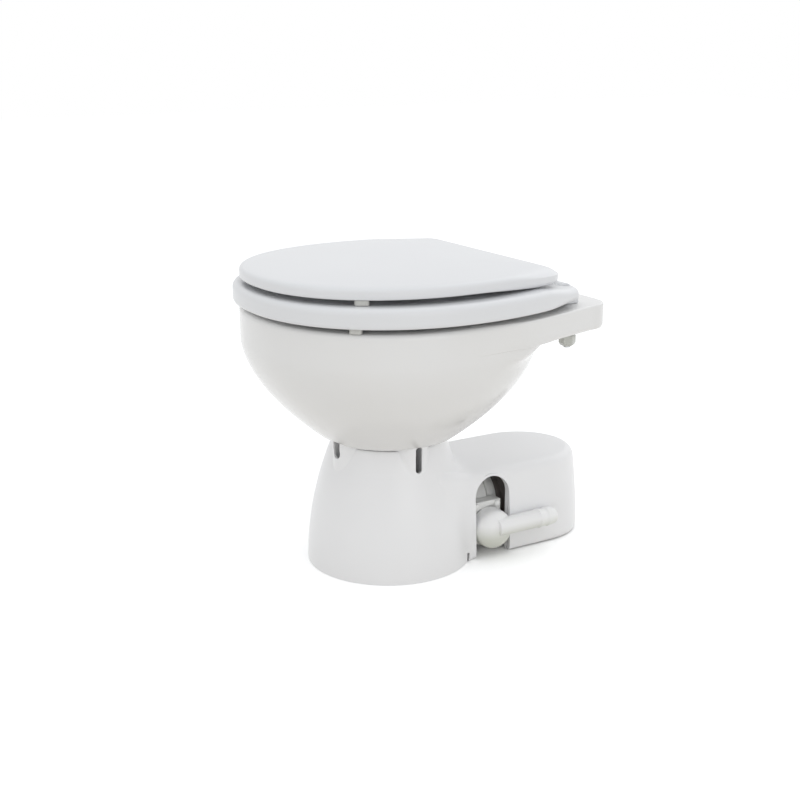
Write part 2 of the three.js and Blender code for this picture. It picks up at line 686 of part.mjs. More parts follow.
// The arch that lets the discharge elbow out of the left wall.
function dischargeArch() {
  const shape = new THREE.Shape();
  shape.moveTo(archHalfWidth, -overrun);
  shape.lineTo(archHalfWidth, archTop - archHalfWidth);
  shape.absarc(0, archTop - archHalfWidth, archHalfWidth, 0, Math.PI);
  shape.lineTo(-archHalfWidth, -overrun);
  const depth = housingHalfWidth / 2;
  const geometry = new THREE.ExtrudeGeometry(shape, { depth, bevelEnabled: false, curveSegments: 8 });
  geometry.rotateX(Math.PI / 2).rotateZ(Math.PI / 2);
  return solid(geometry.translate(housingHalfWidth + overrun - depth, dischargeY, 0));
}

// Cable gland hole in the right wall of the housing.
const glandY = 170;
const glandHeight = 24;
const glandRadius = 8;
const glandHexRadius = 11;
const glandHexLength = 7;
const glandTail = 6;
const glandBore = 3.5;

function pedestal() {
  const ceiling = pedestalHeight - columnTopPlate;
  const outer = columnHeights.map((z) => [columnRadius(z), z]);
  const inner = [...columnHeights.filter((z) => z < ceiling), ceiling].map((z) => [columnRadius(z) - baseWall, z]);
  const middle = [0, columnY, 0];
  const column = turnedAt("z", [[0, 0], ...outer, [0, pedestalHeight]], middle, columnSteps);
  const cavityFoot = [[0, -overrun], [columnBase - baseWall, -overrun]];
  const columnCavity = turnedAt("z", [...cavityFoot, ...inner, [0, ceiling]], middle, columnSteps);
  const housing = housingForm(0, [housingRing(housingTuck, housingHeight)]);
  const below = housingRing(baseWall + housingTuck, housingHeight).map((q) => q.setZ(-overrun));
  const housingCavity = housingForm(baseWall, [below, housingRing(baseWall + housingTuck, housingHeight)]);
  const shell = cut(column.add(housing), columnCavity.add(housingCavity));

  const bossBodies = bosses.map(([, azimuth]) => {
    const [x, y] = bossPlace(azimuth);
    return rod("z", bossRadius, bossHeight, [x, y, pedestalHeight - bossHeight], 16);
  });
  const studHoles = bosses.map(([, azimuth]) => {
    const [x, y] = bossPlace(azimuth);
    return rod("z", studHole, slotTopWall + 2 * overrun, [x, y, pedestalHeight - slotTopWall - overrun], 12);
  });
  const slots = bosses.map(([, azimuth]) => bossSlot(azimuth));
  const collar = rod("z", collarHole, columnTopPlate + 2 * overrun, [0, columnY, ceiling - overrun], spigotSteps);
  const lipRoom = collarHole + sumpLip + runGap;
  const belowCeiling = rod("z", lipRoom, bossHeight, [0, columnY, ceiling - bossHeight], spigotSteps);
  const creaseY = columnY + Math.sqrt(columnBase ** 2 - housingHalfWidth ** 2);
  const notch = block(
    [housingHalfWidth - 2 * baseWall, creaseY - notchWidth / 2, -overrun],
    [columnBase, creaseY + notchWidth / 2, notchHeight],
  );
  const glandHole = rod("x", glandRadius + seatGap, 4 * baseWall, [
    -housingHalfWidth - 2 * baseWall,
    glandY,
    glandHeight,
  ]);
  const holes = [collar, belowCeiling, dischargeArch(), notch, glandHole, ...slots, ...studHoles];
  return cut(joined(shell, ...bossBodies), ...holes);
}
piece("pedestal", pedestal(), "baseMoulding");

// Bowl fastening: a gasket on the pedestal's top, and at each boss a stud with a flanged nut.
const nutRadius = 4.6;
const nutHeight = 6;
const nutFlangeHeight = 1.5;
const gasketOuter = bossReach - studHole;
const gasketInner = collarHole + runGap;
piece(
  "bowl_gasket",
  tube("z", gasketOuter, gasketInner, gasketThickness, [0, columnY, pedestalHeight + seatGap], 24),
  "rubber",
);
for (const [place, azimuth] of bosses) {
  const [x, y] = bossPlace(azimuth);
  const nutTop = pedestalHeight - slotTopWall - seatGap;
  const studBottom = nutTop - nutHeight - studRadius;
  const studLength = bowlBottom + studDepth - seatGap - studBottom;
  piece(`bowl_stud_${place}`, rod("z", studRadius, studLength, [x, y, studBottom], 8), "steel");
  const hex = rod("z", nutRadius - seatGap, nutHeight, [x, y, nutTop - nutHeight], 6);
  const flange = rod("z", nutRadius, nutFlangeHeight, [x, y, nutTop - nutFlangeHeight], boltSteps);
  const thread = rod("z", studHole, nutHeight + 2 * overrun, [x, y, nutTop - nutHeight - overrun], 8);
  piece(`bowl_nut_${place}`, cut(hex.add(flange), thread), "steel");
}

// Sump: a neck under the bowl takes the spigot in a rubber seal, and stands on an elbow that leads to the pump.
const sealThickness = 3.4;
const sumpRadius = 34;
const sumpWall = 5;
const sumpNeckDrop = 12;
const sumpLipHeight = 5;
const sumpFlangeThickness = 6;
const maceratorFront = 30;
const maceratorLength = 31.7;
const maceratorWall = 6;
const sealSeat = spigotRadius + sealThickness + 2 * seatGap;
const sumpCollar = collarHole - seatGap;
const spigotEnd = bowlBottom - spigotLength;

const sumpBore = sumpRadius - sumpWall;
const sumpJoint = pumpAxisHeight + sumpRadius;

function sumpNeck() {
  const lipTop = pedestalHeight - columnTopPlate - seatGap;
  const lipBottom = lipTop - sumpLipHeight;
  const top = pedestalHeight - seatGap;
  const ledge = spigotEnd - runGap;
  const profile = [
    [sumpBore, sumpJoint + seatGap],
    [sumpRadius, sumpJoint + seatGap],
    [sumpRadius, lipBottom - sumpNeckDrop],
    [sumpCollar, lipBottom],
    [sumpCollar + sumpLip, lipBottom],
    [sumpCollar + sumpLip, lipTop],
    [sumpCollar, lipTop],
    [sumpCollar, top],
    [sealSeat, top],
    [sealSeat, ledge],
    [sumpBore, ledge],
  ];
  return turnedAt("z", profile, [0, columnY, 0], spigotSteps);
}
piece("sump_neck", sumpNeck(), "whitePlastic");

function sump() {
  const elbowCentre = [0, columnY, pumpAxisHeight];
  const legLength = maceratorFront - columnY;
  const stem = rod("z", sumpRadius, sumpJoint - pumpAxisHeight, elbowCentre, spigotSteps);
  const leg = rod("y", sumpRadius, legLength, elbowCentre, pumpSteps);
  const flangeStart = [0, maceratorFront - sumpFlangeThickness, pumpAxisHeight];
  const flange = rod("y", maceratorRadius, sumpFlangeThickness, flangeStart, pumpSteps);
  const stemBore = rod("z", sumpBore, sumpRadius + overrun, elbowCentre, spigotSteps);
  const legBore = rod("y", sumpBore, legLength + overrun, elbowCentre, pumpSteps);
  const body = joined(stem, ball(sumpRadius, elbowCentre), leg, flange);
  return cut(body, stemBore, ball(sumpBore, elbowCentre), legBore);
}
piece("sump", sump(), "whitePlastic");
const sealLength = spigotLength - 2 * runGap;
piece(
  "outlet_seal",
  tube("z", sealSeat - seatGap, spigotRadius + seatGap, sealLength, [0, columnY, spigotEnd], spigotSteps),
  "rubber",
);

// Pump and motor lie on one axis behind the sump: macerator, pump chamber, seal housing, motor, end cap.
const shaftRadius = 4;
const shaftBore = shaftRadius + seatGap;
const pumpFront = maceratorFront + maceratorLength + 2 * seatGap;
const pumpLength = 38;
const pumpShare = 0.3942;
const pumpRadius = pumpShare * housingHeight;
const chamberWall = 11;
const chamberRadius = pumpRadius - chamberWall;
const pumpWall = 4;
const pumpEye = 14;
const sealRadius = 10;
const portRadius = 12.2;
const portBore = 9.8;
const portStandOff = 5;
const portFace = pumpRadius + portStandOff;
const portPlateThickness = 6;
const collarRadius = 25.5;
const collarHalfWidth = 20;
const collarTop = 63;
const sealHousingFront = pumpFront + pumpLength + seatGap;
const sealHousingLength = 12.7;
const sealHousingShare = 0.3654;
const sealHousingRadius = sealHousingShare * housingHeight;
const bearingRadius = 11;
const bearingLength = 7;
const motorFront = sealHousingFront + sealHousingLength + seatGap;
const motorLength = 82.5;
const motorShare = 0.3558;
const motorRadius = motorShare * housingHeight;
const motorWall = 3;
const endCapFront = motorFront + motorLength + seatGap;
const endCapLength = 10;
const onAxis = (y) => [0, y, pumpAxisHeight];

piece(
  "macerator_housing",
  tube("y", maceratorRadius, maceratorRadius - maceratorWall, maceratorLength, onAxis(maceratorFront + seatGap), pumpSteps),
  "whitePlastic",
);

// Screws hold the elbow's collar to the pump's port plate.
const screwRadius = 2;
const screwHeadRadius = 4.2;
const screwHeadHeight = 2.6;
const screwDepth = 4;
const screwSpread = 14.5;
const screwHeight = 58.5;
const collarThickness = 8.7;
const screwYs = [["front", dischargeY - screwSpread], ["rear", dischargeY + screwSpread]];
const collarFace = portFace + seatGap + collarThickness;
const screwHole = (y) => {
  const start = portFace - screwDepth - seatGap;
  return rod("x", screwRadius + seatGap, collarFace - start + overrun, [start, y, screwHeight], 12);
};

// The outline that port plate and collar share: a round plate with one square ear on top for the screws.
function collarPlate(x, thickness) {
  const ear = block(
    [x, dischargeY - collarHalfWidth, dischargeHeight],
    [x + thickness, dischargeY + collarHalfWidth, collarTop],
  );
  return ear.add(rod("x", collarRadius, thickness, [x, dischargeY, dischargeHeight], 24));
}

function pumpHousing() {
  const shell = cut(
    rod("y", pumpRadius, pumpLength, onAxis(pumpFront), motorSteps),
    rod("y", chamberRadius, pumpLength - 2 * pumpWall, onAxis(pumpFront + pumpWall), pumpSteps),
    rod("y", pumpEye, pumpWall + 2 * overrun, onAxis(pumpFront - overrun), pumpSteps),
    rod("y", sealRadius + seatGap, pumpWall + 2 * overrun, onAxis(pumpFront + pumpLength - pumpWall - overrun), 16),
  );
  const portLength = portFace - chamberRadius;
  const port = rod("x", portRadius, portLength, [chamberRadius, dischargeY, dischargeHeight]);
  const plate = collarPlate(portFace - portPlateThickness, portPlateThickness);
  const boreStart = chamberRadius - portBore;
  const bore = rod("x", portBore, portFace + overrun - boreStart, [boreStart, dischargeY, dischargeHeight]);
  return cut(joined(shell, port, plate), bore, ...screwYs.map(([, y]) => screwHole(y)));
}
piece("pump_housing", pumpHousing(), "whitePlastic");

const sealStart = pumpFront + pumpLength - pumpWall;
piece("shaft_seal", tube("y", sealRadius, shaftRadius + runGap, pumpWall, onAxis(sealStart), 16), "rubber");
piece(
  "seal_housing",
  tube("y", sealHousingRadius, bearingRadius + seatGap, sealHousingLength, onAxis(sealHousingFront), motorSteps),
  "whitePlastic",
);
const frontBearing = sealHousingFront + sealHousingLength - bearingLength;
piece("bearing_front", tube("y", bearingRadius, shaftBore, bearingLength, onAxis(frontBearing), 16), "steel");
const motorBody = tube("y", motorRadius, motorRadius - motorWall, motorLength, onAxis(motorFront), motorSteps);
piece("motor_body", motorBody, "blackPaint");

// The end cap closes the motor and holds the rear bearing in a blind pocket.
const pocketDepth = bearingLength + seatGap;
piece(
  "motor_end_cap",
  cut(
    rod("y", motorRadius, endCapLength, onAxis(endCapFront), motorSteps),
    rod("y", bearingRadius + seatGap, pocketDepth + overrun, onAxis(endCapFront - overrun), 16),
  ),
  "blackPaint",
);
piece("bearing_rear", tube("y", bearingRadius, shaftBore, bearingLength, onAxis(endCapFront), 16), "steel");

// Rotor: shaft, chopper blade, impeller and armature turn together.
const magnetThickness = 5;
const magnetLength = 58;
const armatureLength = 50;
const armatureGap = 1;
const bladeThickness = 4;
const bladeHub = 8;
const bladeHubLength = 9;
const bladeHalfWidth = 5;
const bladeGap = 4;
const bladeReach = maceratorRadius - maceratorWall - bladeGap;
const bladeStart = 12;
const impellerHub = 9;
const impellerGap = 2;
const impellerRadius = chamberRadius - impellerGap;
const vaneCount = 5;
const vaneThickness = 3;
const impellerPlate = 3;
const magnetInner = motorRadius - motorWall - seatGap - magnetThickness;
const motorMiddle = motorFront + motorLength / 2;
piece(
  "field_magnets",
  tube("y", motorRadius - motorWall - seatGap, magnetInner, magnetLength, onAxis(motorMiddle - magnetLength / 2), motorSteps),
  "magnet",
);
piece(
  "armature",
  tube("y", magnetInner - armatureGap, shaftBore, armatureLength, onAxis(motorMiddle - armatureLength / 2), 20),
  "steel",
);
const hubStart = maceratorFront + bladeStart;
piece(
  "macerator_blade",
  cut(
    joined(
      rod("y", bladeHub, bladeHubLength, onAxis(hubStart), 16),
      block(
        [-bladeReach, hubStart, pumpAxisHeight - bladeHalfWidth],
        [bladeReach, hubStart + bladeThickness, pumpAxisHeight + bladeHalfWidth],
      ),
    ),
    rod("y", shaftBore, bladeHubLength + 2 * overrun, onAxis(hubStart - overrun), 12),
  ),
  "steel",
);
function impeller() {
  const start = pumpFront + pumpWall + impellerGap;
  const length = pumpLength - 2 * pumpWall - 2 * impellerGap;
  const plateStart = start + length - impellerPlate;
  const vanes = Array.from({ length: vaneCount }, (_, i) => {
    const vane = new THREE.BoxGeometry(impellerRadius - impellerGap, length, vaneThickness);
    vane.translate((impellerRadius - impellerGap) / 2, start + length / 2, 0);
    return solid(vane.rotateY((2 * Math.PI * i) / vaneCount).translate(0, 0, pumpAxisHeight));
  });
  const body = joined(
    rod("y", impellerHub, length, onAxis(start), 16),
    rod("y", impellerRadius, impellerPlate, onAxis(plateStart), 20),
    ...vanes,
  );
  return cut(body, rod("y", shaftBore, length + 2 * overrun, onAxis(start - overrun), 12));
}
piece("impeller", impeller(), "blackPlastic");
const shaftStart = hubStart - runGap;
const shaftEnd = endCapFront + bearingLength - runGap;
piece("motor_shaft", rod("y", shaftRadius, shaftEnd - shaftStart, onAxis(shaftStart), 12), "steel");

// A saddle on the floor carries the motor, and a steel band holds it down.
const saddleHalfWidth = 36;
const saddleHeight = 30;
const saddleLength = 40;
const bandWidth = 10;
const bandThickness = 1.2;
const saddleStart = motorMiddle - saddleLength / 2;
const bandStart = motorMiddle - bandWidth / 2;
const bandOuter = motorRadius + seatGap + bandThickness;
piece(
  "motor_saddle",
  cut(
    block([-saddleHalfWidth, saddleStart, 0], [saddleHalfWidth, saddleStart + saddleLength, saddleHeight]),
    rod("y", motorRadius + seatGap, saddleLength + 2 * overrun, onAxis(saddleStart - overrun), motorSteps),
    rod("y", bandOuter + seatGap, bandWidth + 2 * seatGap, onAxis(bandStart - seatGap), motorSteps),
  ),
  "blackPlastic",
);
piece("motor_band", tube("y", bandOuter, motorRadius + seatGap, bandWidth, onAxis(bandStart), motorSteps), "steel");

// Cable gland in the right wall, with its bore open to both sides.
function cableGland() {
  const lean = (glandHeight / housingHeight) ** 2;
  const wallFace = housingHalfWidth - lean * housingSideLean;
  const neckLength = glandHexLength + baseWall + glandTail + 2 * seatGap;
  const outerEnd = -wallFace - seatGap - glandHexLength;
  const hex = rod("x", glandHexRadius, glandHexLength, [outerEnd, glandY, glandHeight], 6);
  const neck = rod("x", glandRadius, neckLength, [outerEnd, glandY, glandHeight], 20);
  const bore = rod("x", glandBore, neckLength + 2 * overrun, [outerEnd - overrun, glandY, glandHeight], 12);
  return cut(hex.add(neck), bore);
}
piece("cable_gland", cableGland(), "blackPlastic");

// Discharge: an elbow turns on the pump's port under a screwed collar, and leaves through the arch. Its
// drum ends in a low dome, and its hose barb points to the rear.
const elbowFlangeRadius = 23;
const elbowFlangeThickness = 2.7;
const elbowNeckRadius = 21;
const ringThickness = 1.7;
const ringRadius = 20.5;
const elbowNeckReach = 11;
const elbowNeckEnd = portFace + elbowNeckReach;
const drumRadius = 23.3;
const drumReach = 32;
const drumEnd = portFace + drumReach;
const domeReach = 44;
const domeEnd = portFace + domeReach;
const domeShoulderShare = 0.62;
const elbowBore = 17;
const drumWall = 3.5;
const barbReach = 33.5;
const barbX = portFace + barbReach;
const barbRise = 5;
const barbRadius = 10.6;
const barbBore = 8.5;
const barbLength = 80;
const barbRidge = 1;
const barbRidgeLength = 9;
const barbRidgeShares = [0.7, 0.85];
const valveFlange = 17;
const valveWall = 1.6;
const valveTip = 3.5;
const valveLength = 20;
const elbowStart = portFace + ringThickness + 2 * seatGap;
const collarLedge = elbowStart + elbowFlangeThickness + seatGap;
const portAxis = [0, dischargeY, dischargeHeight];

function elbowCollar() {
  const plate = collarPlate(portFace + seatGap, collarThickness);
  const recess = rod("x", elbowFlangeRadius + runGap, collarLedge, portAxis);
  const hole = rod("x", elbowNeckRadius + runGap, collarFace + overrun, portAxis);
  return cut(plate, recess, hole, ...screwYs.map(([, y]) => screwHole(y)));
}
piece("elbow_collar", elbowCollar(), "whitePlastic");
for (const [place, y] of screwYs) {
  const start = portFace - screwDepth;
  const head = collarFace + seatGap;
  const shank = rod("x", screwRadius, head - start + screwHeadHeight / 2, [start, y, screwHeight], 12);
  const cap = rod("x", screwHeadRadius, screwHeadHeight, [head, y, screwHeight], 12);
  piece(`collar_screw_${place}`, shank.add(cap), "steel");
}
piece(
  "elbow_oring",
  tube("x", ringRadius, valveFlange + seatGap, ringThickness, [portFace + seatGap, dischargeY, dischargeHeight]),
  "rubber",
);

// The one-way valve: a thin rubber cone with its flange clamped at the port and its lips in the elbow.
const valveStart = portFace + seatGap;
const valveRoot = portBore - seatGap;
piece(
  "joker_valve",
  turnedAt(
    "x",
    [
      [valveRoot, 0],
      [valveFlange, 0],
      [valveFlange, ringThickness],
      [valveRoot + valveWall, ringThickness],
      [valveTip + valveWall, valveLength],
      [valveTip, valveLength],
    ],
    [valveStart, dischargeY, dischargeHeight],
    20,
  ),
  "rubber",
);

function dischargeElbow() {
  const shoulder = drumRadius * domeShoulderShare;
  const domeRise = domeEnd - drumEnd;
  const outside = turnedAt(
    "x",
    [
      [0, elbowStart],
      [elbowFlangeRadius, elbowStart],
      [elbowFlangeRadius, elbowStart + elbowFlangeThickness],
      [elbowNeckRadius, elbowStart + elbowFlangeThickness],
      [elbowNeckRadius, elbowNeckEnd],
      [drumRadius, elbowNeckEnd],
      [drumRadius, drumEnd - domeRise / 2],
      [drumRadius - drumWall / 3, drumEnd],
      [drumRadius - drumWall, drumEnd + domeRise / 3],
      [shoulder, domeEnd - domeRise / 6],
      [shoulder / 2, domeEnd],
      [0, domeEnd],
    ],
    portAxis,
    24,
  );
  const cavity = turnedAt(
    "x",
    [
      [0, elbowStart - overrun],
      [elbowBore, elbowStart - overrun],
      [elbowBore, elbowNeckEnd],
      [drumRadius - drumWall, elbowNeckEnd + drumWall],
      [drumRadius - drumWall, drumEnd - drumWall],
      [shoulder, domeEnd - domeRise / 6 - drumWall],
      [0, domeEnd - drumWall],
    ],
    portAxis,
    12,
  );
  const barbStart = [barbX, dischargeY, dischargeHeight + barbRise];
  const ridges = barbRidgeShares.map((share) => [
    [barbRadius + barbRidge, share * barbLength],
    [barbRadius, share * barbLength + barbRidgeLength],
  ]);
  const barb = turnedAt(
    "y",
    [
      [0, 0],
      [barbRadius, 0],
      ...ridges.flatMap(([crest, foot]) => [[barbRadius, crest[1]], crest, foot]),
      [barbRadius - barbRidge, barbLength],
      [0, barbLength],
    ],
    barbStart,
    12,
  );
  const bore = rod("y", barbBore, barbLength + overrun, barbStart, 10);
  return cut(outside.add(barb), cavity, bore);
}
piece("discharge_elbow", dischargeElbow(), "elbowPlastic");

// Flush inlet: grommet in the bowl's back wall, and a hose elbow that turns to the right under the deck.
const grommetFlange = 5;
const grommetFlangeThickness = 3;
const grommetLength = 15;
const inletHub = 15;
const inletReach = 50;
const inletBoreRadius = 6.5;
const inletWallY = columnY + rimHalfLength;
piece(
  "inlet_grommet",
  turnedAt(
    "y",
    [
      [inletRadius + seatGap, -grommetLength],
      [inletHole - seatGap, -grommetLength],
      [inletHole - seatGap, seatGap],
      [inletHole + grommetFlange, seatGap],
      [inletHole + grommetFlange, grommetFlangeThickness],
      [inletRadius + seatGap, grommetFlangeThickness],
    ],
    [0, inletWallY, inletHeight],
    20,
  ),
  "rubber",
);
function inletElbow() {
  const turnY = inletWallY + grommetFlangeThickness + seatGap + inletRadius;
  const start = inletWallY - inletHub;
  const centre = [0, turnY, inletHeight];
  const body = joined(
    rod("y", inletRadius, turnY - start, [0, start, inletHeight], 20),
    ball(inletRadius, centre, 20),
    rod("x", inletRadius, inletReach, [-inletReach, turnY, inletHeight], 20),
  );
  return cut(
    body,
    rod("y", inletBoreRadius, turnY - start + overrun, [0, start - overrun, inletHeight], 16),
    ball(inletBoreRadius, centre, 16),
    rod("x", inletBoreRadius, inletReach + overrun, [-inletReach - overrun, turnY, inletHeight], 16),
  );
}
piece("inlet_elbow", inletElbow(), "whitePlastic");

// The part's own frame: origin on the floor, in the middle of the whole length.
toilet.position.y = (seatFront - housingRear) / 2;
const part = new THREE.Group();
part.add(toilet);

export default part;
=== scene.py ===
import json
import math

import bmesh
import bpy
from mathutils import Matrix, Vector


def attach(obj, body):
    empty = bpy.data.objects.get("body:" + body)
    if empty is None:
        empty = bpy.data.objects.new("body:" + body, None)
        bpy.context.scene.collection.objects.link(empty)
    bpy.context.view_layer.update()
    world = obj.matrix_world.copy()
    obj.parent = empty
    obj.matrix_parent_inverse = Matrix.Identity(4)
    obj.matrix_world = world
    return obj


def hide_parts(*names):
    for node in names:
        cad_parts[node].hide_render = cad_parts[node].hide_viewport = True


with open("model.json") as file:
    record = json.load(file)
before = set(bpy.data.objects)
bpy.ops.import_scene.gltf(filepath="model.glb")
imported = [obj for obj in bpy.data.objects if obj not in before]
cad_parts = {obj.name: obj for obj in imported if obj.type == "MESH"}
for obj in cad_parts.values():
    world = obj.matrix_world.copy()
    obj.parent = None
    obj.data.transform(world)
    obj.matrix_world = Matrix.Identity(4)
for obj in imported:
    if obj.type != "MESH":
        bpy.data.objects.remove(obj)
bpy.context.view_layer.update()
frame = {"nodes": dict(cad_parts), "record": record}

# China bowl. Vitreous china, slip cast in one piece with its boxed rim and the deck for the hinges, then
# spray glazed and fired, so that every edge is round. It is skinned through rings, from the spigot up the
# outside, over the rim, and down through the basin to the outlet. Sizes are in millimetres.
MM = 0.001
LENGTH_SHIFT = -26.5
BOWL_Y = -13
SEAT_WIDTH, SEAT_FRONT = 345, 182
RIM_Z, RIM_FACE, RIM_EDGE = 302.8, 35, 5
RIM_HALF_WIDTH = SEAT_WIDTH / 2 - 6.7
RIM_HALF_LENGTH = SEAT_FRONT - 6.7 + BOWL_Y
CHINA_WALL = 10
FOOT_Z, FOOT_RADIUS, FOOT_CURVE = 149, 73, 1.78
DECK_REAR, DECK_HALF_WIDTH, DECK_CORNER = 201, 125.5, 26
DECK_UNDERSIDE = RIM_Z - 30
SPIGOT_END = 135.6
BOSS_REACH, BOSS_RADIUS, BOSS_AZIMUTHS = 56, 19.5, (-81, -3.5, 87.5, 177.5)
EAR_LEAN, FOOT_TURN = 0.9, 7


def linear(colour):
    """An sRGB hex colour as the linear colour that a shader takes."""
    shares = [int(colour[i:i + 2], 16) / 255 for i in (1, 3, 5)]
    return (*[c / 12.92 if c <= 0.04045 else ((c + 0.055) / 1.055) ** 2.4 for c in shares], 1)


def add(tree, kind, inputs=(), **settings):
    """Adds one node, sets it and links its inputs."""
    made = tree.nodes.new(kind)
    for name, value in settings.items():
        setattr(made, name, value)
    for name, value in dict(inputs).items():
        if isinstance(value, bpy.types.NodeSocket):
            tree.links.new(value, made.inputs[name])
        else:
            made.inputs[name].default_value = value
    return made


def new_material(name):
    """An empty node material with its output, and object coordinates in metres."""
    material = bpy.data.materials.new(name)
    material.use_nodes = True
    tree = material.node_tree
    tree.nodes.clear()
    output = add(tree, "ShaderNodeOutputMaterial")
    place = add(tree, "ShaderNodeTexCoord").outputs["Object"]
    return material, tree, output.inputs["Surface"], place


def noise(tree, place, scale, detail):
    return add(tree, "ShaderNodeTexNoise", {"Vector": place, "Scale": scale, "Detail": detail}).outputs["Fac"]


def coated(tree, surface, share, tones, coat, relief=None):
    """Ends a material with a colour between two tones, the values of its coat, and a relief given as its
    height, strength and depth in metres."""
    tint = add(tree, "ShaderNodeMix", {
        "Factor": share, "A": linear(tones[0]), "B": linear(tones[1])}, data_type="RGBA")
    shader = add(tree, "ShaderNodeBsdfPrincipled", {"Base Color": tint.outputs["Result"], **coat})
    if relief:
        bump = add(tree, "ShaderNodeBump", dict(zip(("Height", "Strength", "Distance"), relief)))
        tree.links.new(bump.outputs["Normal"], shader.inputs["Normal"])
    tree.links.new(shader.outputs["BSDF"], surface)


def smooth_step(value, low, high):
    share = min(1.0, max(0.0, (value - low) / (high - low)))
    return share * share * (3 - 2 * share)


def arc(x, y, radius, start, end, steps):
    """Points of an arc, angles in degrees."""
    angles = [math.radians(start + (end - start) * i / steps) for i in range(steps + 1)]
    return [(x + radius * math.cos(t), y + radius * math.sin(t)) for t in angles]


def skin(bm, rings, closed=False):
    """Extrudes the first ring's loop to each next ring in turn, and gives back all the loops."""
    verts = [bm.verts.new(p) for p in rings[0]]
    loops = [[bm.edges.new(pair) for pair in zip(verts, verts[1:] + verts[:1])]]
    for points in rings[1:] + (rings[:1] if closed else []):
        place = {v: i for i, v in enumerate(verts)}
        grown = bmesh.ops.extrude_edge_only(bm, edges=loops[-1])["geom"]
        fresh = {}
        for v in [g for g in grown if isinstance(g, bmesh.types.BMVert)]:
            start = next(e.other_vert(v) for e in v.link_edges if e.other_vert(v) in place)
            fresh[place[start]] = v
            v.co = points[place[start]]
        verts = [fresh[i] for i in range(len(points))]
        loops.append([bm.edges.get(pair) for pair in zip(verts, verts[1:] + verts[:1])])
    return loops


def cap(bm, loop):
    """Closes an edge loop with a fan about its middle."""
    face = bmesh.ops.contextual_create(bm, geom=loop)["faces"]
    bmesh.ops.poke(bm, faces=face)


def placed(bm, name, material, sharp=35):
    """The finished mesh, made in millimetres, as an object in the part's frame."""
    bmesh.ops.remove_doubles(bm, verts=bm.verts, dist=0.002)
    bmesh.ops.recalc_face_normals(bm, faces=bm.faces)
    bmesh.ops.translate(bm, verts=bm.verts, vec=(0, LENGTH_SHIFT, 0))
    bmesh.ops.scale(bm, verts=bm.verts, vec=(MM, MM, MM))
    mesh = bpy.data.meshes.new(name)
    bm.to_mesh(mesh)
    bm.free()
    mesh.shade_smooth()
    mesh.set_sharp_from_angle(angle=math.radians(sharp))
    mesh.materials.append(material)
    made = bpy.data.objects.new(name, mesh)
    bpy.context.scene.collection.objects.link(made)
    return made


def deck_side(y):
    share = max(0.0, y - 60) / (DECK_REAR - 60)
    return RIM_HALF_WIDTH - (RIM_HALF_WIDTH - DECK_HALF_WIDTH) * share ** 1.16


def deck_half(inset):
    """Half of the deck's outline from the bowl's widest point to the middle of its rear edge."""
    straight_end = DECK_REAR - DECK_CORNER
    side = [BOWL_Y + (straight_end - BOWL_Y) * (i / 26) for i in range(27)]
    corner_radius = DECK_CORNER - inset
    corner_x = deck_side(straight_end) - inset - corner_radius
    corner = arc(corner_x, straight_end, corner_radius, 0, 90, 9)[1:]
    rear = [(corner_x * (1 - i / 8), DECK_REAR - inset) for i in range(1, 9)]
    return [(deck_side(y) - inset, y) for y in side] + corner + rear


# The rings share one fan of directions about the bowl's axis: even over the front, and through the points of
# the deck's outline over the rear.
FRONT_STEPS = 34
half_fan = [-90 + 90 * i / FRONT_STEPS for i in range(FRONT_STEPS)]
half_fan += [math.degrees(math.atan2(y - BOWL_Y, x)) for x, y in deck_half(0)]
bowl_fan = half_fan + [180 - a for a in reversed(half_fan[1:-1])]


def oval_point(direction, half_width, half_length, fullness, rear_fullness):
    c, s = math.cos(math.radians(direction)), math.sin(math.radians(direction))
    power = rear_fullness if s > 0 else fullness
    reach = ((abs(c) / half_width) ** power + (abs(s) / half_length) ** power) ** (-1 / power)
    return reach * c, BOWL_Y + reach * s


def boss_reach(direction):
    """How far the four bosses of the pedestal reach from its axis."""
    reach = 0.0
    for azimuth in BOSS_AZIMUTHS:
        off = math.radians(direction - azimuth)
        side = BOSS_RADIUS ** 2 - (BOSS_REACH * math.sin(off)) ** 2
        if side > 0 and math.cos(off) > 0:
            reach = max(reach, BOSS_REACH * math.cos(off) + math.sqrt(side))
    return reach


def ear(direction, reach, z):
    """How far the foot stands out over a boss, where the wall has a given reach."""
    lean = EAR_LEAN * (z - FOOT_Z)
    return max(0.0, boss_reach(direction) + lean - reach) * (1 - smooth_step(z, FOOT_Z + 7, FOOT_Z + 12))


def foot_inset(z):
    """The wall turns in under itself where it stands on the pedestal."""
    return FOOT_TURN * max(0.0, 1 - (z - FOOT_Z) / 5) ** 2


def wall_ring(rise, inset, z=None):
    level = FOOT_Z + rise * (RIM_Z - RIM_FACE - FOOT_Z) if z is None else z
    swell = 1 - (1 - rise) ** FOOT_CURVE
    half_width = FOOT_RADIUS + (RIM_HALF_WIDTH - FOOT_RADIUS) * swell - inset
    half_length = FOOT_RADIUS + (RIM_HALF_LENGTH - FOOT_RADIUS) * swell - inset
    fullness = 2 + 0.15 * swell
    square = (max(0.0, rise - 0.9) / 0.1) ** 1.4
    rear_fullness = fullness + 0.4 * square
    points = [oval_point(a, half_width, half_length, fullness, rear_fullness) for a in bowl_fan]
    return [(x, y, level) for x, y in points]


def round_ring(radius, z):
    return [(*oval_point(a, radius, radius, 2, 2), z) for a in bowl_fan]


def underside(y):
    return DECK_UNDERSIDE + 1.2 * math.sin(math.pi * (DECK_REAR - max(y, BOWL_Y)) / (DECK_REAR - BOWL_Y))


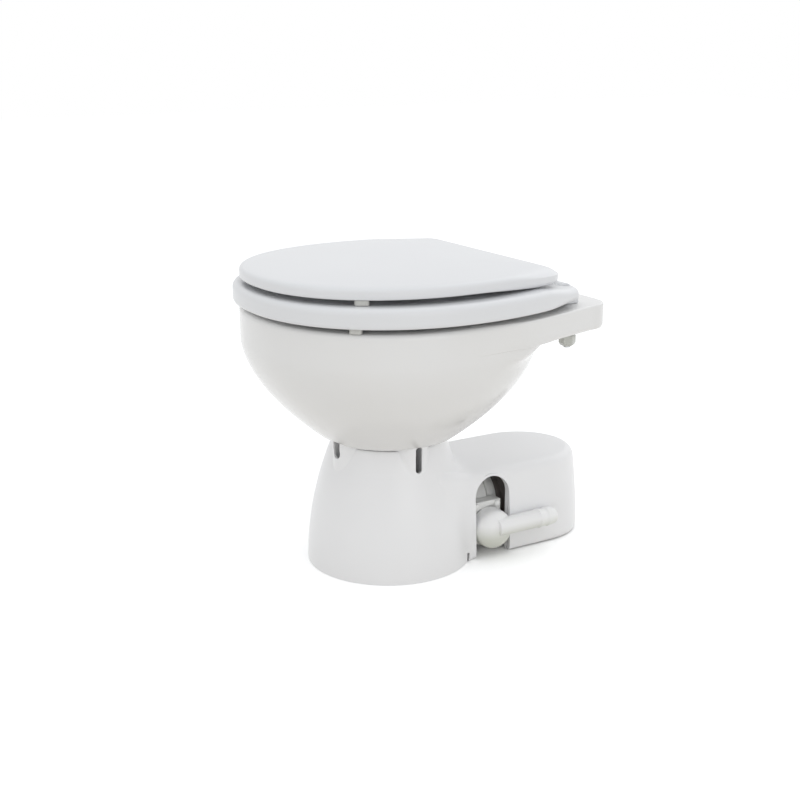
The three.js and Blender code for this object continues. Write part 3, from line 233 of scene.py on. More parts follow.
def deck_ring(inset, height_at):
    """The rim's oval over the front half, and the deck's outline over the rear half."""
    half = deck_half(0)
    last = len(half_fan) - 1
    points = []
    for k, (x, y, _) in enumerate(wall_ring(1, 0)):
        along = min(k, 2 * last - k) - FRONT_STEPS
        if along >= 0:
            reach = min(inset, 1) * smooth_step(half[along][1], 0, 60)
            reach += max(0.0, inset - 1) * smooth_step(half[along][1], 80, 130)
            side, y = deck_half(reach)[along]
            x = side if k <= last else -side
        points.append((x, y, height_at(y)))
    return points


def rim_ring(turn):
    """The rounded upper edge: 5 mm at the front, and less round the deck."""
    points = []
    corner_x = deck_side(DECK_REAR - DECK_CORNER) - DECK_CORNER
    for x, y, _ in deck_ring(0, underside):
        radius = RIM_EDGE - 2.3 * smooth_step(y, 0, 90)
        inset, drop = radius * (1 - math.cos(turn)), radius * (1 - math.sin(turn))
        corner = Vector((math.copysign(1, x) * corner_x, DECK_REAR - DECK_CORNER))
        if y < 90:
            inward = (Vector((0, max(y, BOWL_Y))) - Vector((x, y))).normalized()
        elif y < corner.y:
            inward = Vector((-math.copysign(1, x), 0))
        else:
            inward = (corner - Vector((x, y))).normalized() if abs(x) > corner_x else Vector((0, -1))
        points.append((x + inward.x * inset, y + inward.y * inset, RIM_Z - drop))
    return points


bm = bmesh.new()
rises = [0.004, 0.01, 0.018, 0.028, 0.04, 0.055, 0.07, 0.085] + [0.1 + 0.9 * (i / 34) for i in range(35)]
deck_edge = deck_ring(1, underside)
outside = []
for rise in rises:
    grown = []
    for (x, y, z), (deck_x, deck_y, _), direction in zip(wall_ring(rise, 0), deck_edge, bowl_fan):
        sweep = smooth_step(rise, 0.8, 1) ** 1.5 * smooth_step(y, -10, 60)
        sweep *= 1 - smooth_step(deck_y, 25, 120)
        out = ear(direction, math.hypot(x, y - BOWL_Y) - foot_inset(z), z) - foot_inset(z)
        x, y = x + out * math.cos(math.radians(direction)), y + out * math.sin(math.radians(direction))
        grown.append((x + (deck_x - x) * sweep, y + (deck_y - y) * sweep, z))
    outside.append(grown)
foot = [(x, y, FOOT_Z) for x, y, _ in outside[0]]
foot_inner = [(x * 0.985, BOWL_Y + (y - BOWL_Y) * 0.985, FOOT_Z) for x, y, _ in foot]
foot_edge = [(x * 0.996, BOWL_Y + (y - BOWL_Y) * 0.996, FOOT_Z + 0.3) for x, y, _ in foot]
rim_lower = [
    [(x, y, underside(y) - 1.2) for x, y, _ in outside[-1]],
    [(x, y, underside(y)) for x, y, _ in outside[-1]],
    deck_ring(4.5, lambda y: underside(y) + 0.4),
    deck_ring(1.8, lambda y: underside(y) + 1.6),
    deck_ring(0.4, lambda y: underside(y) + 4.2),
    deck_ring(0, lambda y: underside(y) + 7),
    deck_ring(0, lambda y: underside(y) + 11),
    deck_ring(0, lambda y: RIM_Z - 7),
]
rim_top = [rim_ring(math.radians(15 * i)) for i in range(7)]
mouth = [(35, 0), (36.6, 0.4), (38.5, 1.5), (39.6, 3.2), (40, 5), (40, 25), (41, 28), (43.5, 29.6), (42, 31)]
mouth += [(34, 31), (20, 31), (12, 31.5), (10, 33.5)]
basin_rises = [1 - 0.78 * i / 18 for i in range(19)]
basin = [wall_ring(rise, CHINA_WALL) for rise in basin_rises]
outlet = [(64, 166.5), (58, 162.8), (48, 160.8), (34, 159.4), (27, 158.4), (24.6, 156.6), (24, 154),
          (24, 137), (24.6, SPIGOT_END)]
spigot = [(31.2, SPIGOT_END), (32, SPIGOT_END + 1), (32, FOOT_Z - 1), (33.5, FOOT_Z)]
rings = [round_ring(radius, z) for radius, z in spigot]
rings += [foot_inner, foot_edge] + outside + rim_lower + rim_top
rings += [wall_ring(1, inset, RIM_Z - drop) for inset, drop in mouth] + basin
rings += [round_ring(radius, z) for radius, z in outlet]
skin(bm, rings, closed=True)

# Glazed vitreous china: near white, a glass-smooth coat with a slow waviness, and a faintly warm body where
# the glaze runs thin. It gives soft reflections with clean edges.
china, tree, surface, place = new_material("glazed_vitreous_china")
wave, speck = noise(tree, place, 26, 1.5), noise(tree, place, 9, 3)
coated(tree, surface, speck, ("#e6e6e6", "#e3e2e0"), {"Roughness": 0.18, "IOR": 1.52}, (wave, 0.06, 0.002))

bowl = placed(bm, "china_bowl", china, 40)
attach(bowl, "fixed")
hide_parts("bowl")

# Seat. One thick thermoset moulding, pressed and polished, with a round rear end that turns between the
# hinge posts. Its section changes from a slab with soft edges to a full round near the hinge axis. A shallow
# groove on top leaves room for the rear edge of the opened lid.
SEAT_REAR, SEAT_REAR_WIDTH, SEAT_CORNER = 160, 266, 22
SEAT_BOTTOM, SEAT_THICKNESS = RIM_Z + 6.2, 21.5
SEAT_TOP = SEAT_BOTTOM + SEAT_THICKNESS
END_RADIUS, END_INSET = 8, 9.6
SEAT_AXIS_Y, SEAT_AXIS_Z, KNUCKLE_RADIUS = SEAT_REAR - 13.6, SEAT_TOP - 13.6, 10.6
HINGE_X, POST_WIDTH = 106, 22


def plan_half(width, front, rear, rear_width, corner, inset):
    """Half outline of seat or lid, from the middle of its front to the middle of its rear edge."""
    half_front, half_rear = width / 2 - inset, rear_width / 2 - inset
    ahead, behind = front - inset, rear - inset
    radius = max(corner - inset, corner / 4)
    points = []
    for i in range(40):
        t = i / 40 * math.pi / 2
        points.append((half_front * math.sin(t) ** (2 / 2.19), -ahead * math.cos(t) ** (2 / 2.19)))
    slope = math.atan((half_front - half_rear) * 1.95 / behind)
    side_end = behind - radius + radius * math.sin(slope)
    for i in range(16):
        y = side_end * i / 15
        points.append((half_front - (half_front - half_rear) * (y / behind) ** 1.95, y))
    centre_x = points[-1][0] - radius * math.cos(slope)
    points += arc(centre_x, behind - radius, radius, math.degrees(slope), 90, 9)[1:]
    points += [(centre_x * (1 - i / 14), behind) for i in range(1, 15)]
    return points


def mirrored(half):
    return half + [(-x, *rest) for x, *rest in reversed(half[1:-1])]


SEAT_PLAN = (SEAT_WIDTH, SEAT_FRONT, SEAT_REAR, SEAT_REAR_WIDTH, SEAT_CORNER)
slab_section = [
    (24.7, 0), (20, 0), (15, 0), (9, 0), (4, 0), (2, 0.25), (0.7, 1.2), (0.1, 2.6), (0, 4.2), (0, 7), (0, 10),
    (0, 12.5), (0, 14.5), (0.53, 17.2), (2.05, 19.45), (4.32, 20.97), (7, 21.5), (13.6, 21.5),
]


def blended_ring(plan, flat, turned, low, high):
    """A ring whose [inset, z] goes from the flat section to the turned one along the length."""
    outline = plan_half(*plan, 0)
    shares = [smooth_step(y, low, high) for _, y in outline]
    insets = [flat[0] + (turned[0] - flat[0]) * share for share in shares]
    half = []
    for k, (inset, share) in enumerate(zip(insets, shares)):
        x, y = plan_half(*plan, inset)[k]
        half.append((x, y, flat[1] + (turned[1] - flat[1]) * share))
    return mirrored(half)


bm = bmesh.new()
seat_rings = []
for k, (inset, height) in enumerate(slab_section):
    turn = math.radians(-144.5 + (90 + 144.5) * k / (len(slab_section) - 1))
    turned = (END_INSET - END_RADIUS * math.cos(turn), SEAT_AXIS_Z + END_RADIUS * math.sin(turn))
    seat_rings.append(blended_ring(SEAT_PLAN, (inset, SEAT_BOTTOM + height), turned, 92, 146))
OPENING_Y, OPENING_HALF_WIDTH, OPENING_HALF_LENGTH = -7, 114, 115


def opening_ring(outset, z):
    half_width, half_length = OPENING_HALF_WIDTH + outset, OPENING_HALF_LENGTH + outset
    points = []
    for x, y in mirrored(plan_half(*SEAT_PLAN, 0)):
        direction = math.atan2(y - OPENING_Y, x * 1.02)
        c, s = abs(math.cos(direction)) / half_width, abs(math.sin(direction)) / half_length
        reach = (c ** 2.2 + s ** 2.2) ** (-1 / 2.2)
        points.append((reach * math.cos(direction), OPENING_Y + reach * math.sin(direction), z))
    return points


for turn in range(0, 91, 15):
    t = math.radians(turn)
    seat_rings.append(opening_ring(8 * (1 - math.sin(t)), SEAT_TOP - 7 * (1 - math.cos(t))))
for outset, height in ((0, 9), (0, 2), (0.4, 0.6), (1.6, 0)):
    seat_rings.append(opening_ring(outset, SEAT_BOTTOM + height))
skin(bm, seat_rings, closed=True)


def carved(target, cutters):
    """Cuts shapes out of an object, or joins them to it, and keeps the result in its mesh."""
    for operation, cutter in cutters:
        step = target.modifiers.new("carve", "BOOLEAN")
        step.operation, step.solver, step.object = operation, "EXACT", cutter
    bpy.context.view_layer.update()
    evaluated = target.evaluated_get(bpy.context.evaluated_depsgraph_get())
    mesh = bpy.data.meshes.new_from_object(evaluated)
    target.modifiers.clear()
    old, target.data = target.data, mesh
    bpy.data.meshes.remove(old)
    mesh.name = target.name
    for _, cutter in cutters:
        shape = cutter.data
        bpy.data.objects.remove(cutter)
        bpy.data.meshes.remove(shape)


TURN_TO = {
    "x": Matrix.Rotation(math.pi / 2, 4, "Y"), "y": Matrix.Rotation(-math.pi / 2, 4, "X"), "z": Matrix(),
}


def turned_shape(bm, axis, profile, centre, steps=48):
    """Spins a [radius, distance] profile about an axis through a point."""
    first = [bm.verts.new((radius, 0, distance)) for radius, distance in profile]
    edges = [bm.edges.new(pair) for pair in zip(first, first[1:])]
    if profile[0][0] > 0:
        edges.append(bm.edges.new((first[-1], first[0])))
    before = set(bm.verts) - set(first)
    bmesh.ops.spin(bm, geom=first + edges, cent=(0, 0, 0), axis=(0, 0, 1), angle=math.tau, steps=steps,
                   use_merge=True)
    made = [v for v in bm.verts if v not in before]
    bmesh.ops.remove_doubles(bm, verts=made, dist=0.002)
    made = [v for v in bm.verts if v not in before]
    bmesh.ops.transform(bm, matrix=Matrix.Translation(centre) @ TURN_TO[axis], verts=made)


def rod_profile(radius, length, edge=0.6):
    side = [(radius - edge, 0), (radius, edge), (radius, length - edge), (radius - edge, length)]
    return [(0, 0), *side, (0, length)]


def round_over(bm, edges, radius):
    bmesh.ops.bevel(bm, geom=edges, offset=radius, affect="EDGES", segments=3, profile=0.5, material=-1)


def soft_block(bm, low, high, edge):
    """A block between two corners with bevelled edges."""
    size = Vector(high) - Vector(low)
    middle = (Vector(high) + Vector(low)) / 2
    made = bmesh.ops.create_cube(bm, size=1, matrix=Matrix.Translation(middle) @ Matrix.Diagonal((*size, 1)))
    if edge:
        round_over(bm, list({e for v in made["verts"] for e in v.link_edges}), edge)


# Polished thermoset resin: white with a breath of blue, hard gloss, and the faint orange peel of the mould.
resin, tree, surface, place = new_material("polished_thermoset_resin")
peel, cloud = noise(tree, place, 180, 2), noise(tree, place, 7, 2)
coated(tree, surface, cloud, ("#e2e3e5", "#dfe0e2"), {"Roughness": 0.3, "IOR": 1.5}, (peel, 0.035, 0.0006))

LID_AXIS_Y, LID_AXIS_Z, LID_BARREL = 125.3, 337.0, 6.2
LID_HINGE_X, LUG_WIDTH = 77, 18
RELIEF_RADIUS, RELIEF_LENGTH = 8.9, 234
seat = placed(bm, "seat_ring", resin)
cutters = []
for side in (-1, 1):
    notch_bm = bmesh.new()
    notch = rod_profile(KNUCKLE_RADIUS + 2, POST_WIDTH + 2, 0)
    turned_shape(notch_bm, "x", notch, (side * HINGE_X - POST_WIDTH / 2 - 1, SEAT_AXIS_Y, SEAT_AXIS_Z))
    cutters.append(("DIFFERENCE", placed(notch_bm, "post_notch", resin)))
relief_bm = bmesh.new()
turned_shape(relief_bm, "x", rod_profile(RELIEF_RADIUS, RELIEF_LENGTH, 0),
             (-RELIEF_LENGTH / 2, LID_AXIS_Y, LID_AXIS_Z))
cutters.append(("DIFFERENCE", placed(relief_bm, "lid_relief", resin)))
carved(seat, cutters)
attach(seat, "seat")

# Two lugs stand on the seat's top and carry the lid on steel pins.
for name, side in (("right", -1), ("left", 1)):
    bm = bmesh.new()
    start = side * LID_HINGE_X - LUG_WIDTH / 2
    turned_shape(bm, "x", rod_profile(LID_BARREL - 0.3, LUG_WIDTH, 0.8), (start, LID_AXIS_Y, LID_AXIS_Z))
    soft_block(bm, (start, LID_AXIS_Y - 5.9, SEAT_TOP - 7),
               (start + LUG_WIDTH, LID_AXIS_Y - 0.6, LID_AXIS_Z), 0.6)
    lug = placed(bm, "lid_lug_" + name, resin)
    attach(lug, "seat")
    if name == "left":
        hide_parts("seat")
    else:
        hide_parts("seat")

# Lid. A shallow cover of the same resin, hollow underneath, with a gently domed top and a thin round rear
# edge that turns on the seat's lugs.
LID_PLAN = (312, 176, 133.5, 259, 28)
LID_BOTTOM, LID_WALL, LID_DOME, LID_SINK = SEAT_TOP + 6.1, 4, 4.75, 5.5
LID_EDGE_TOP = LID_BOTTOM + 12


def dome(share):
    return LID_EDGE_TOP + LID_DOME * (1 - (1 - share) ** 3)


def lid_ring(inset, z):
    """A level ring that sinks near the rear edge, where the top is rounder."""
    sink = LID_SINK * max(0.0, 1 - inset / 24) ** 2 * smooth_step(z, LID_BOTTOM + 4, LID_EDGE_TOP)
    return mirrored([(x, y, z - sink * smooth_step(y, 40, 118)) for x, y in plan_half(*LID_PLAN, inset)])


bm = bmesh.new()
dome_shares = [0.045, 0.08, 0.13, 0.2, 0.28, 0.38, 0.5, 0.63, 0.76]
under = [lid_ring(LID_WALL + 156 * share * 0.97, dome(share) - LID_WALL) for share in reversed(dome_shares)]
for inset, drop in ((8, 0.3), (5.5, 1.4), (4.2, 3.6)):
    under.append(lid_ring(inset, LID_EDGE_TOP - LID_WALL - drop))
lip = [((4, 1), (12.4, 6.2)), ((3.8, 0.3), (11.6, 3.1)), ((3.2, 0), (9.3, 0.8)), ((1.6, 0), (6.2, 0)),
       ((0.8, 0.2), (3.1, 0.8)), ((0.3, 0.6), (0.8, 3.1)), ((0, 1.5), (0, 6.2))]
sides = [blended_ring(LID_PLAN, (a, LID_BOTTOM + za), (b, LID_AXIS_Z - LID_BARREL + zb), 0, 118)
         for (a, za), (b, zb) in lip]
top = [lid_ring(inset, LID_EDGE_TOP - 5 + rise) for inset, rise in
       ((0, -2.5), (0, 0), (0.17, 1.3), (0.67, 2.5), (1.46, 3.54), (2.5, 4.33), (3.7, 4.85), (5.1, 5.15))]
over = [lid_ring(156 * share, dome(share)) for share in dome_shares]
loops = skin(bm, under + sides + top + over)
cap(bm, loops[0])
cap(bm, loops[-1])
lid = placed(bm, "lid_cover", resin)
cutters = []
for side in (-1, 1):
    notch_bm = bmesh.new()
    start, width = side * LID_HINGE_X - LUG_WIDTH / 2 - 0.4, LUG_WIDTH + 0.8
    turned_shape(notch_bm, "x", rod_profile(LID_BARREL + 0.4, width, 0), (start, LID_AXIS_Y, LID_AXIS_Z))
    slot_bm = bmesh.new()
    soft_block(slot_bm, (start, LID_AXIS_Y - 6.2, SEAT_TOP), (start + width, LID_AXIS_Y + 12, LID_AXIS_Z), 0)
    cutters.append(("DIFFERENCE", placed(notch_bm, "lug_notch", resin)))
    cutters.append(("DIFFERENCE", placed(slot_bm, "lug_slot", resin)))
carved(lid, cutters)
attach(lid, "lid")
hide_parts("lid")

# Hinge posts of the same resin. A round knuckle fills the notch of the seat, and a foot behind it stands on
# the deck.
for name, side in (("right", -1), ("left", 1)):
    bm = bmesh.new()
    start = side * HINGE_X - POST_WIDTH / 2
    turned_shape(bm, "x", rod_profile(KNUCKLE_RADIUS, POST_WIDTH, 1.2), (start, SEAT_AXIS_Y, SEAT_AXIS_Z))
    soft_block(bm, (start, SEAT_AXIS_Y, RIM_Z + 0.3), (start + POST_WIDTH, SEAT_AXIS_Y + 19, RIM_Z + 10), 1.5)
    post = placed(bm, "hinge_knuckle_" + name, resin)
    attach(post, "fixed")
    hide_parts("hinge_post_" + name)

# Washer and nut under the deck, moulded in milky nylon. The washer is a shallow cone, and the nut is a
# hexagon with a chamfered end. The whiter nylon of the pump is satin, with a little depth.
NUT_Y, WASHER_HEIGHT, NUT_HEIGHT = SEAT_AXIS_Y + 13, 7.3, 13
nylon, tree, surface, place = new_material("moulded_nylon")
grain = noise(tree, place, 900, 2)
soft_coat = {
    "Roughness": 0.42, "IOR": 1.53, "Subsurface Weight": 0.05, "Subsurface Radius": (0.004, 0.004, 0.004)}
coated(tree, surface, grain, ("#f0f0ee", "#e9e9e6"), soft_coat, (grain, 0.12, 0.0003))
milky, tree, surface, place = new_material("milky_nylon")
coated(tree, surface, noise(tree, place, 900, 2), ("#c9cac5", "#bdbfb9"), {"Roughness": 0.28, "IOR": 1.53})
deck_bottom = underside(NUT_Y) - 0.3
for name, side in (("right", -1), ("left", 1)):
    x = side * HINGE_X
    bm = bmesh.new()
    cone = [(4.3, -7), (8.5, -7), (8.9, -6.6), (11.7, -3), (12, -2.4), (12, -0.5), (11.5, 0), (4.3, 0)]
    turned_shape(bm, "z", cone, (x, NUT_Y, deck_bottom))
    washer = placed(bm, "cone_washer_" + name, milky)
    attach(washer, "fixed")
    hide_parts("hinge_washer_" + name)
    bm = bmesh.new()
    nut = [(4.3, 0.6), (4.3, 0), (5.8, 0), (8, 1.4), (9.7, 4.4), (9.7, NUT_HEIGHT - 1), (8.9, NUT_HEIGHT),
           (4.3, NUT_HEIGHT)]
    turned_shape(bm, "z", nut, (x, NUT_Y, deck_bottom - WASHER_HEIGHT - NUT_HEIGHT), 6)
    hexagon = placed(bm, "hexagon_nut_" + name, milky)
    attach(hexagon, "fixed")
    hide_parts("hinge_nut_" + name)

# Buffers. Soft pads of clear vinyl that keep seat and lid off what they close on.
vinyl, tree, surface, place = new_material("clear_soft_vinyl")
clear_coat = {"Roughness": 0.34, "IOR": 1.52, "Transmission Weight": 0.12}
coated(tree, surface, noise(tree, place, 300, 1), ("#d6d6d2", "#c6c6c1"), clear_coat)
for node in [n for n in frame["nodes"] if "buffer" in n]:
    source = frame["nodes"][node].data
    bm = bmesh.new()
    bm.from_mesh(source)
    bmesh.ops.remove_doubles(bm, verts=bm.verts, dist=0.00001)
    bmesh.ops.dissolve_limit(bm, angle_limit=math.radians(5), verts=bm.verts, edges=bm.edges)
    lip_edges = [e for e in bm.edges if abs(e.verts[0].co.z - e.verts[1].co.z) < 0.00001]
    round_over(bm, lip_edges, 0.0008)
    mesh = bpy.data.meshes.new("pad_" + node)
    bm.to_mesh(mesh)
    bm.free()
    mesh.shade_smooth()
    mesh.set_sharp_from_angle(angle=math.radians(50))
    mesh.materials.clear()
    mesh.materials.append(vinyl)
    pad = bpy.data.objects.new("pad_" + node, mesh)
    bpy.context.scene.collection.objects.link(pad)
    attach(pad, "seat" if node.startswith("seat") else "lid")
    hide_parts(node)

# Pedestal. One ABS moulding: a flared column that carries the bowl, and a housing over pump and motor that
# grows out of it behind. It is skinned through rings that hold both at once, given its wall, and then cut
# for the arch, the boss slots, the cable and the floor notch.
COLUMN_BASE, COLUMN_TOP, PEDESTAL_Z = 95.5, 65, 147
HOUSING_Z, HOUSING_REAR, HOUSING_HALF = 103.5, 242.3, 70.3
SIDE_LEAN, REAR_LEAN, HOUSING_EDGE = 6.3, 2.4, 10
REAR_LENGTH, FOOT_FULLNESS, TOP_FULLNESS = 74, 2.33, 2
HOUSING_FRONT, FRONT_CORNER, FLARE, FLARE_LENGTH = 1, 13, 12.4, 46
SHOULDER_RISE, SHOULDER_LENGTH = 15, 70
BASE_WALL, FOOT_GAP = 4, 2.1


def column_radius(z):
    return COLUMN_BASE - (COLUMN_BASE - COLUMN_TOP) * (max(z, 0) / PEDESTAL_Z) ** 2


def shoulder(y, lean):
    share = min(1.0, max(0.0, (HOUSING_FRONT + SHOULDER_LENGTH - y) / SHOULDER_LENGTH))
    return SHOULDER_RISE * lean * math.sin(share * math.pi / 2) ** 2


def housing_outline(inset, drop):
    """Half outline of the housing at a depth below its top, as [direction, reach] about the column's axis."""
    lean = ((HOUSING_Z - drop) / HOUSING_Z) ** 2
    half = HOUSING_HALF - lean * SIDE_LEAN - inset
    rear = HOUSING_REAR - lean * REAR_LEAN - inset
    bend = HOUSING_REAR - REAR_LENGTH
    front = HOUSING_FRONT + min(inset, FRONT_CORNER / 2)
    flare_start = HOUSING_FRONT + FRONT_CORNER
    flare_end = flare_start + FLARE_LENGTH

    def flared(y):
        return half + FLARE * math.sin((flare_end - y) / FLARE_LENGTH * math.pi / 2) ** 1.5

    corner = flare_start - front
    points = arc(flared(flare_start) - corner, flare_start, corner, -90, 0, 10)
    points += [(flared(y), y) for y in [flare_start + FLARE_LENGTH * i / 16 for i in range(1, 16)]]
    points += [(half, flare_end + (bend - flare_end) * i / 14) for i in range(14)]
    power = 2 / (FOOT_FULLNESS + (TOP_FULLNESS - FOOT_FULLNESS) * lean)
    for i in range(36):
        t = i / 36 * math.pi / 2
        points.append((half * math.cos(t) ** power, bend + (rear - bend) * math.sin(t) ** power))
    points.append((0, rear))
    return [(math.degrees(math.atan2(y - BOWL_Y, x)), math.hypot(x, y - BOWL_Y)) for x, y in points], lean


def reach_at(outline, direction):
    """How far the housing reaches in a direction. Ahead of its front corner it doesn't reach at all."""
    folded = direction if direction <= 90 else 180 - direction
    if folded < outline[0][0]:
        return 0.0
    for (a0, r0), (a1, r1) in zip(outline, outline[1:]):
        if a0 <= folded <= a1:
            return r0 + (r1 - r0) * (folded - a0) / max(a1 - a0, 1e-6)
    return outline[-1][1]


def soft_max(a, b, width):
    return (a + b + math.sqrt((a - b) ** 2 + width ** 2)) / 2 - width / 20


half_fan = [-90 + 0.9 * i for i in range(142)]
rear_fan = [a for a, _ in housing_outline(0, 54)[0] if a > half_fan[-1] + 0.6]
for direction in rear_fan:
    while direction - half_fan[-1] > 2.2:
        half_fan.append(half_fan[-1] + 2)
    if direction - half_fan[-1] > 0.12:
        half_fan.append(direction)
half_fan[-1] = 90
base_fan = half_fan + [180 - a for a in reversed(half_fan[1:-1])]


def base_point(direction, reach, z):
    t = math.radians(direction)
    return (reach * math.cos(t), BOWL_Y + reach * math.sin(t), z)


def body_ring(inset, drop, wall, level=None):
    """A ring round column and housing together, with a soft valley where they meet."""
    outline, lean = housing_outline(inset + wall, drop)
    z = HOUSING_Z - drop if level is None else level
    ring = []
    for direction in base_fan:
        far = reach_at(outline, direction)
        s = math.sin(math.radians(direction))
        height = z + shoulder(BOWL_Y + far * s, lean) if far else z + SHOULDER_RISE * lean
        column = column_radius(height) - wall
        if column > far:
            height = z + shoulder(BOWL_Y + column * s, lean)
            column = column_radius(height) - wall
        reach = soft_max(column, far, 1.4) if far > 0.8 * column else column
        boss = 0 if wall else boss_reach(direction)
        reach = max(reach, boss)
        ring.append(base_point(direction, reach, height))
    return ring


def moulding(wall, foot, top):
    """The closed form of the whole moulding drawn in by a wall, as rings from its foot to its flat top."""
    heights = [0.6, 3, 8] + [8 + 83 * i / 24 for i in range(1, 25)]
    rings = [body_ring(1.6, HOUSING_Z - 0.6, wall, foot)]
    heights = [z for z in heights if z < HOUSING_Z - HOUSING_EDGE]
    rings += [body_ring(max(0, 1 - z / 8), HOUSING_Z - z, wall) for z in heights]
    for k in (0, 1):
        rings[k] = [(x, y, z + (0 if wall else FOOT_GAP * smooth_step(y, 52, 66))) for x, y, z in rings[k]]
    radius = HOUSING_EDGE - wall
    for t in [math.radians(90 * i / 10) for i in range(11)]:
        rings.append(body_ring(radius * (1 - math.cos(t)), wall + radius * (1 - math.sin(t)), wall))
    edge = rings[-1]
    for share in (0.06, 0.14, 0.24, 0.36, 0.5, 0.64, 0.76, 0.86, 0.93, 0.975, 1):
        ring = []
        for direction, (x, y, z) in zip(base_fan, edge):
            start = math.hypot(x, y - BOWL_Y)
            lift = 0.6 * share + 4.4 * share ** 8
            column = max(column_radius(z + lift) - wall, 0 if wall else boss_reach(direction))
            reach = start + (column - start) * share
            level = HOUSING_Z - wall + shoulder(BOWL_Y + reach * math.sin(math.radians(direction)), 1)
            ring.append(base_point(direction, reach, (level if start > column + 0.5 else z) + lift))
        rings.append(ring)
    crease = rings[-1]
    for i in range(1, 17):
        ring = []
        for direction, (x, y, z) in zip(base_fan, crease):
            height = z + (top - 0.8 - z) * i / 16
            reach, boss = column_radius(height) - wall, 0 if wall else boss_reach(direction)
            ring.append(base_point(direction, max(reach, boss), height))
        rings.append(ring)
    reaches = [math.hypot(x, y - BOWL_Y) - 0.8 for x, y, _ in rings[-1]]
    rings.append([base_point(direction, reach, top) for direction, reach in zip(base_fan, reaches)])
    return rings


def closed_skin(bm, rings):
    loops = skin(bm, rings)
    cap(bm, loops[0])
    cap(bm, loops[-1])


bm = bmesh.new()
closed_skin(bm, moulding(0, 0, PEDESTAL_Z))

# Moulded ABS, white with a trace of blue, satin gloss from a fine-spark mould, with slight flow unevenness.
abs_white, tree, surface, place = new_material("moulded_white_abs")
grain, flow = noise(tree, place, 420, 3), noise(tree, place, 11, 2)
coated(tree, surface, flow, ("#f0f0f1", "#ececed"), {"Roughness": 0.31, "IOR": 1.53}, (grain, 0.05, 0.0003))

pedestal = placed(bm, "pedestal_moulding", abs_white, 38)
ARCH_HALF, ARCH_TOP, ARCH_Y = 23.8, 97, 88
BOSS_RISES = (9.4, 6.6, 6.6, 6.6)
SLOT_HALVES, SLOT_LENGTHS, NUT_POCKET_HALF = (5.6, 4, 4, 4), (21.5, 30.2, 28, 28), 7.4
GLAND_Y, GLAND_Z = 170, 24


def prism(bm, outline, depth):
    """Extrudes an outline in the XZ plane towards +Y."""
    verts = [bm.verts.new((x, 0, z)) for x, z in outline]
    face = bm.faces.new(verts)
    grown = bmesh.ops.extrude_face_region(bm, geom=[face])["geom"]
    bmesh.ops.translate(bm, vec=(0, depth, 0), verts=[v for v in grown if isinstance(v, bmesh.types.BMVert)])


cavity_bm = bmesh.new()
closed_skin(cavity_bm, moulding(BASE_WALL, -6, PEDESTAL_Z - 8))
cutters = [("DIFFERENCE", placed(cavity_bm, "cavity", abs_white))]
recesses = []
for azimuth, boss_rise in zip(BOSS_AZIMUTHS, BOSS_RISES):
    boss_bm = bmesh.new()
    t = math.radians(azimuth)
    middle = (BOSS_REACH * math.cos(t), BOWL_Y + BOSS_REACH * math.sin(t), PEDESTAL_Z - 41)
    turned_shape(boss_bm, "z", rod_profile(BOSS_RADIUS - 0.3, 40.6), middle)
    cutters.append(("UNION", placed(boss_bm, "boss_form", abs_white)))
    crown_bm = bmesh.new()
    crown_radius = BOSS_RADIUS + 0.4
    crown = [(0, -4), (crown_radius, -4), (crown_radius, boss_rise - 0.8), (crown_radius - 0.8, boss_rise),
             (0, boss_rise)]
    turned_shape(crown_bm, "z", crown, (middle[0], middle[1], PEDESTAL_Z))
    cutters.append(("UNION", placed(crown_bm, "boss_crown", abs_white)))
    for reach in (BOSS_REACH, BOSS_REACH + 12):
        recess_bm = bmesh.new()
        place_at = (reach * math.cos(t), BOWL_Y + reach * math.sin(t), PEDESTAL_Z + boss_rise - 19.3)
        turned_shape(recess_bm, "z", rod_profile(BOSS_RADIUS + 1, 20, 0.4), place_at)
        recesses.append(("DIFFERENCE", placed(recess_bm, "boss_recess", china)))
carved(bowl, recesses)
bowl.data.set_sharp_from_angle(angle=math.radians(40))
hole_bm = bmesh.new()
turned_shape(hole_bm, "z", rod_profile(42, 80, 0), (0, BOWL_Y, 90), 72)
cutters.append(("DIFFERENCE", placed(hole_bm, "collar_hole", abs_white)))
for operation, reach, depth, grown, low in (("UNION", 58.5, 5, 2.4, 1), ("DIFFERENCE", 36, 44, 0, -5)):
    arch_bm = bmesh.new()
    half = ARCH_HALF + grown
    prism(arch_bm, [(half, low)] + arc(0, ARCH_TOP - ARCH_HALF, half, 0, 180, 40) + [(-half, low)], depth)
    bmesh.ops.transform(arch_bm, verts=arch_bm.verts,
                        matrix=Matrix.Translation((reach, ARCH_Y, 0)) @ Matrix.Rotation(-math.pi / 2, 4, "Z"))
    cutters.append((operation, placed(arch_bm, "arch_form", abs_white)))
highs = [PEDESTAL_Z + boss_rise - 1 for boss_rise in BOSS_RISES]
slots = [(*slot, 60) for slot in zip(BOSS_AZIMUTHS, SLOT_HALVES, SLOT_LENGTHS, highs)]
slots += [(azimuth, NUT_POCKET_HALF, 60, high - 3, 32.5) for azimuth, high in zip(BOSS_AZIMUTHS, highs)]
for azimuth, half, length, high, depth in slots:
    slot_bm = bmesh.new()
    outline = [(half, high - 2), (half - 2, high), (2 - half, high), (-half, high - 2)]
    outline += arc(0, high - length + half, half, 180, 360, 16)
    prism(slot_bm, outline, depth)
    turned = Matrix.Rotation(math.radians(azimuth - 90), 4, "Z") @ Matrix.Translation((0, BOSS_REACH - 16, 0))
    bmesh.ops.transform(slot_bm, verts=slot_bm.verts, matrix=Matrix.Translation((0, BOWL_Y, 0)) @ turned)
    cutters.append(("DIFFERENCE", placed(slot_bm, "slot_cut", abs_white)))
notch_y = BOWL_Y + math.sqrt(COLUMN_BASE ** 2 - HOUSING_HALF ** 2)
notch_bm = bmesh.new()
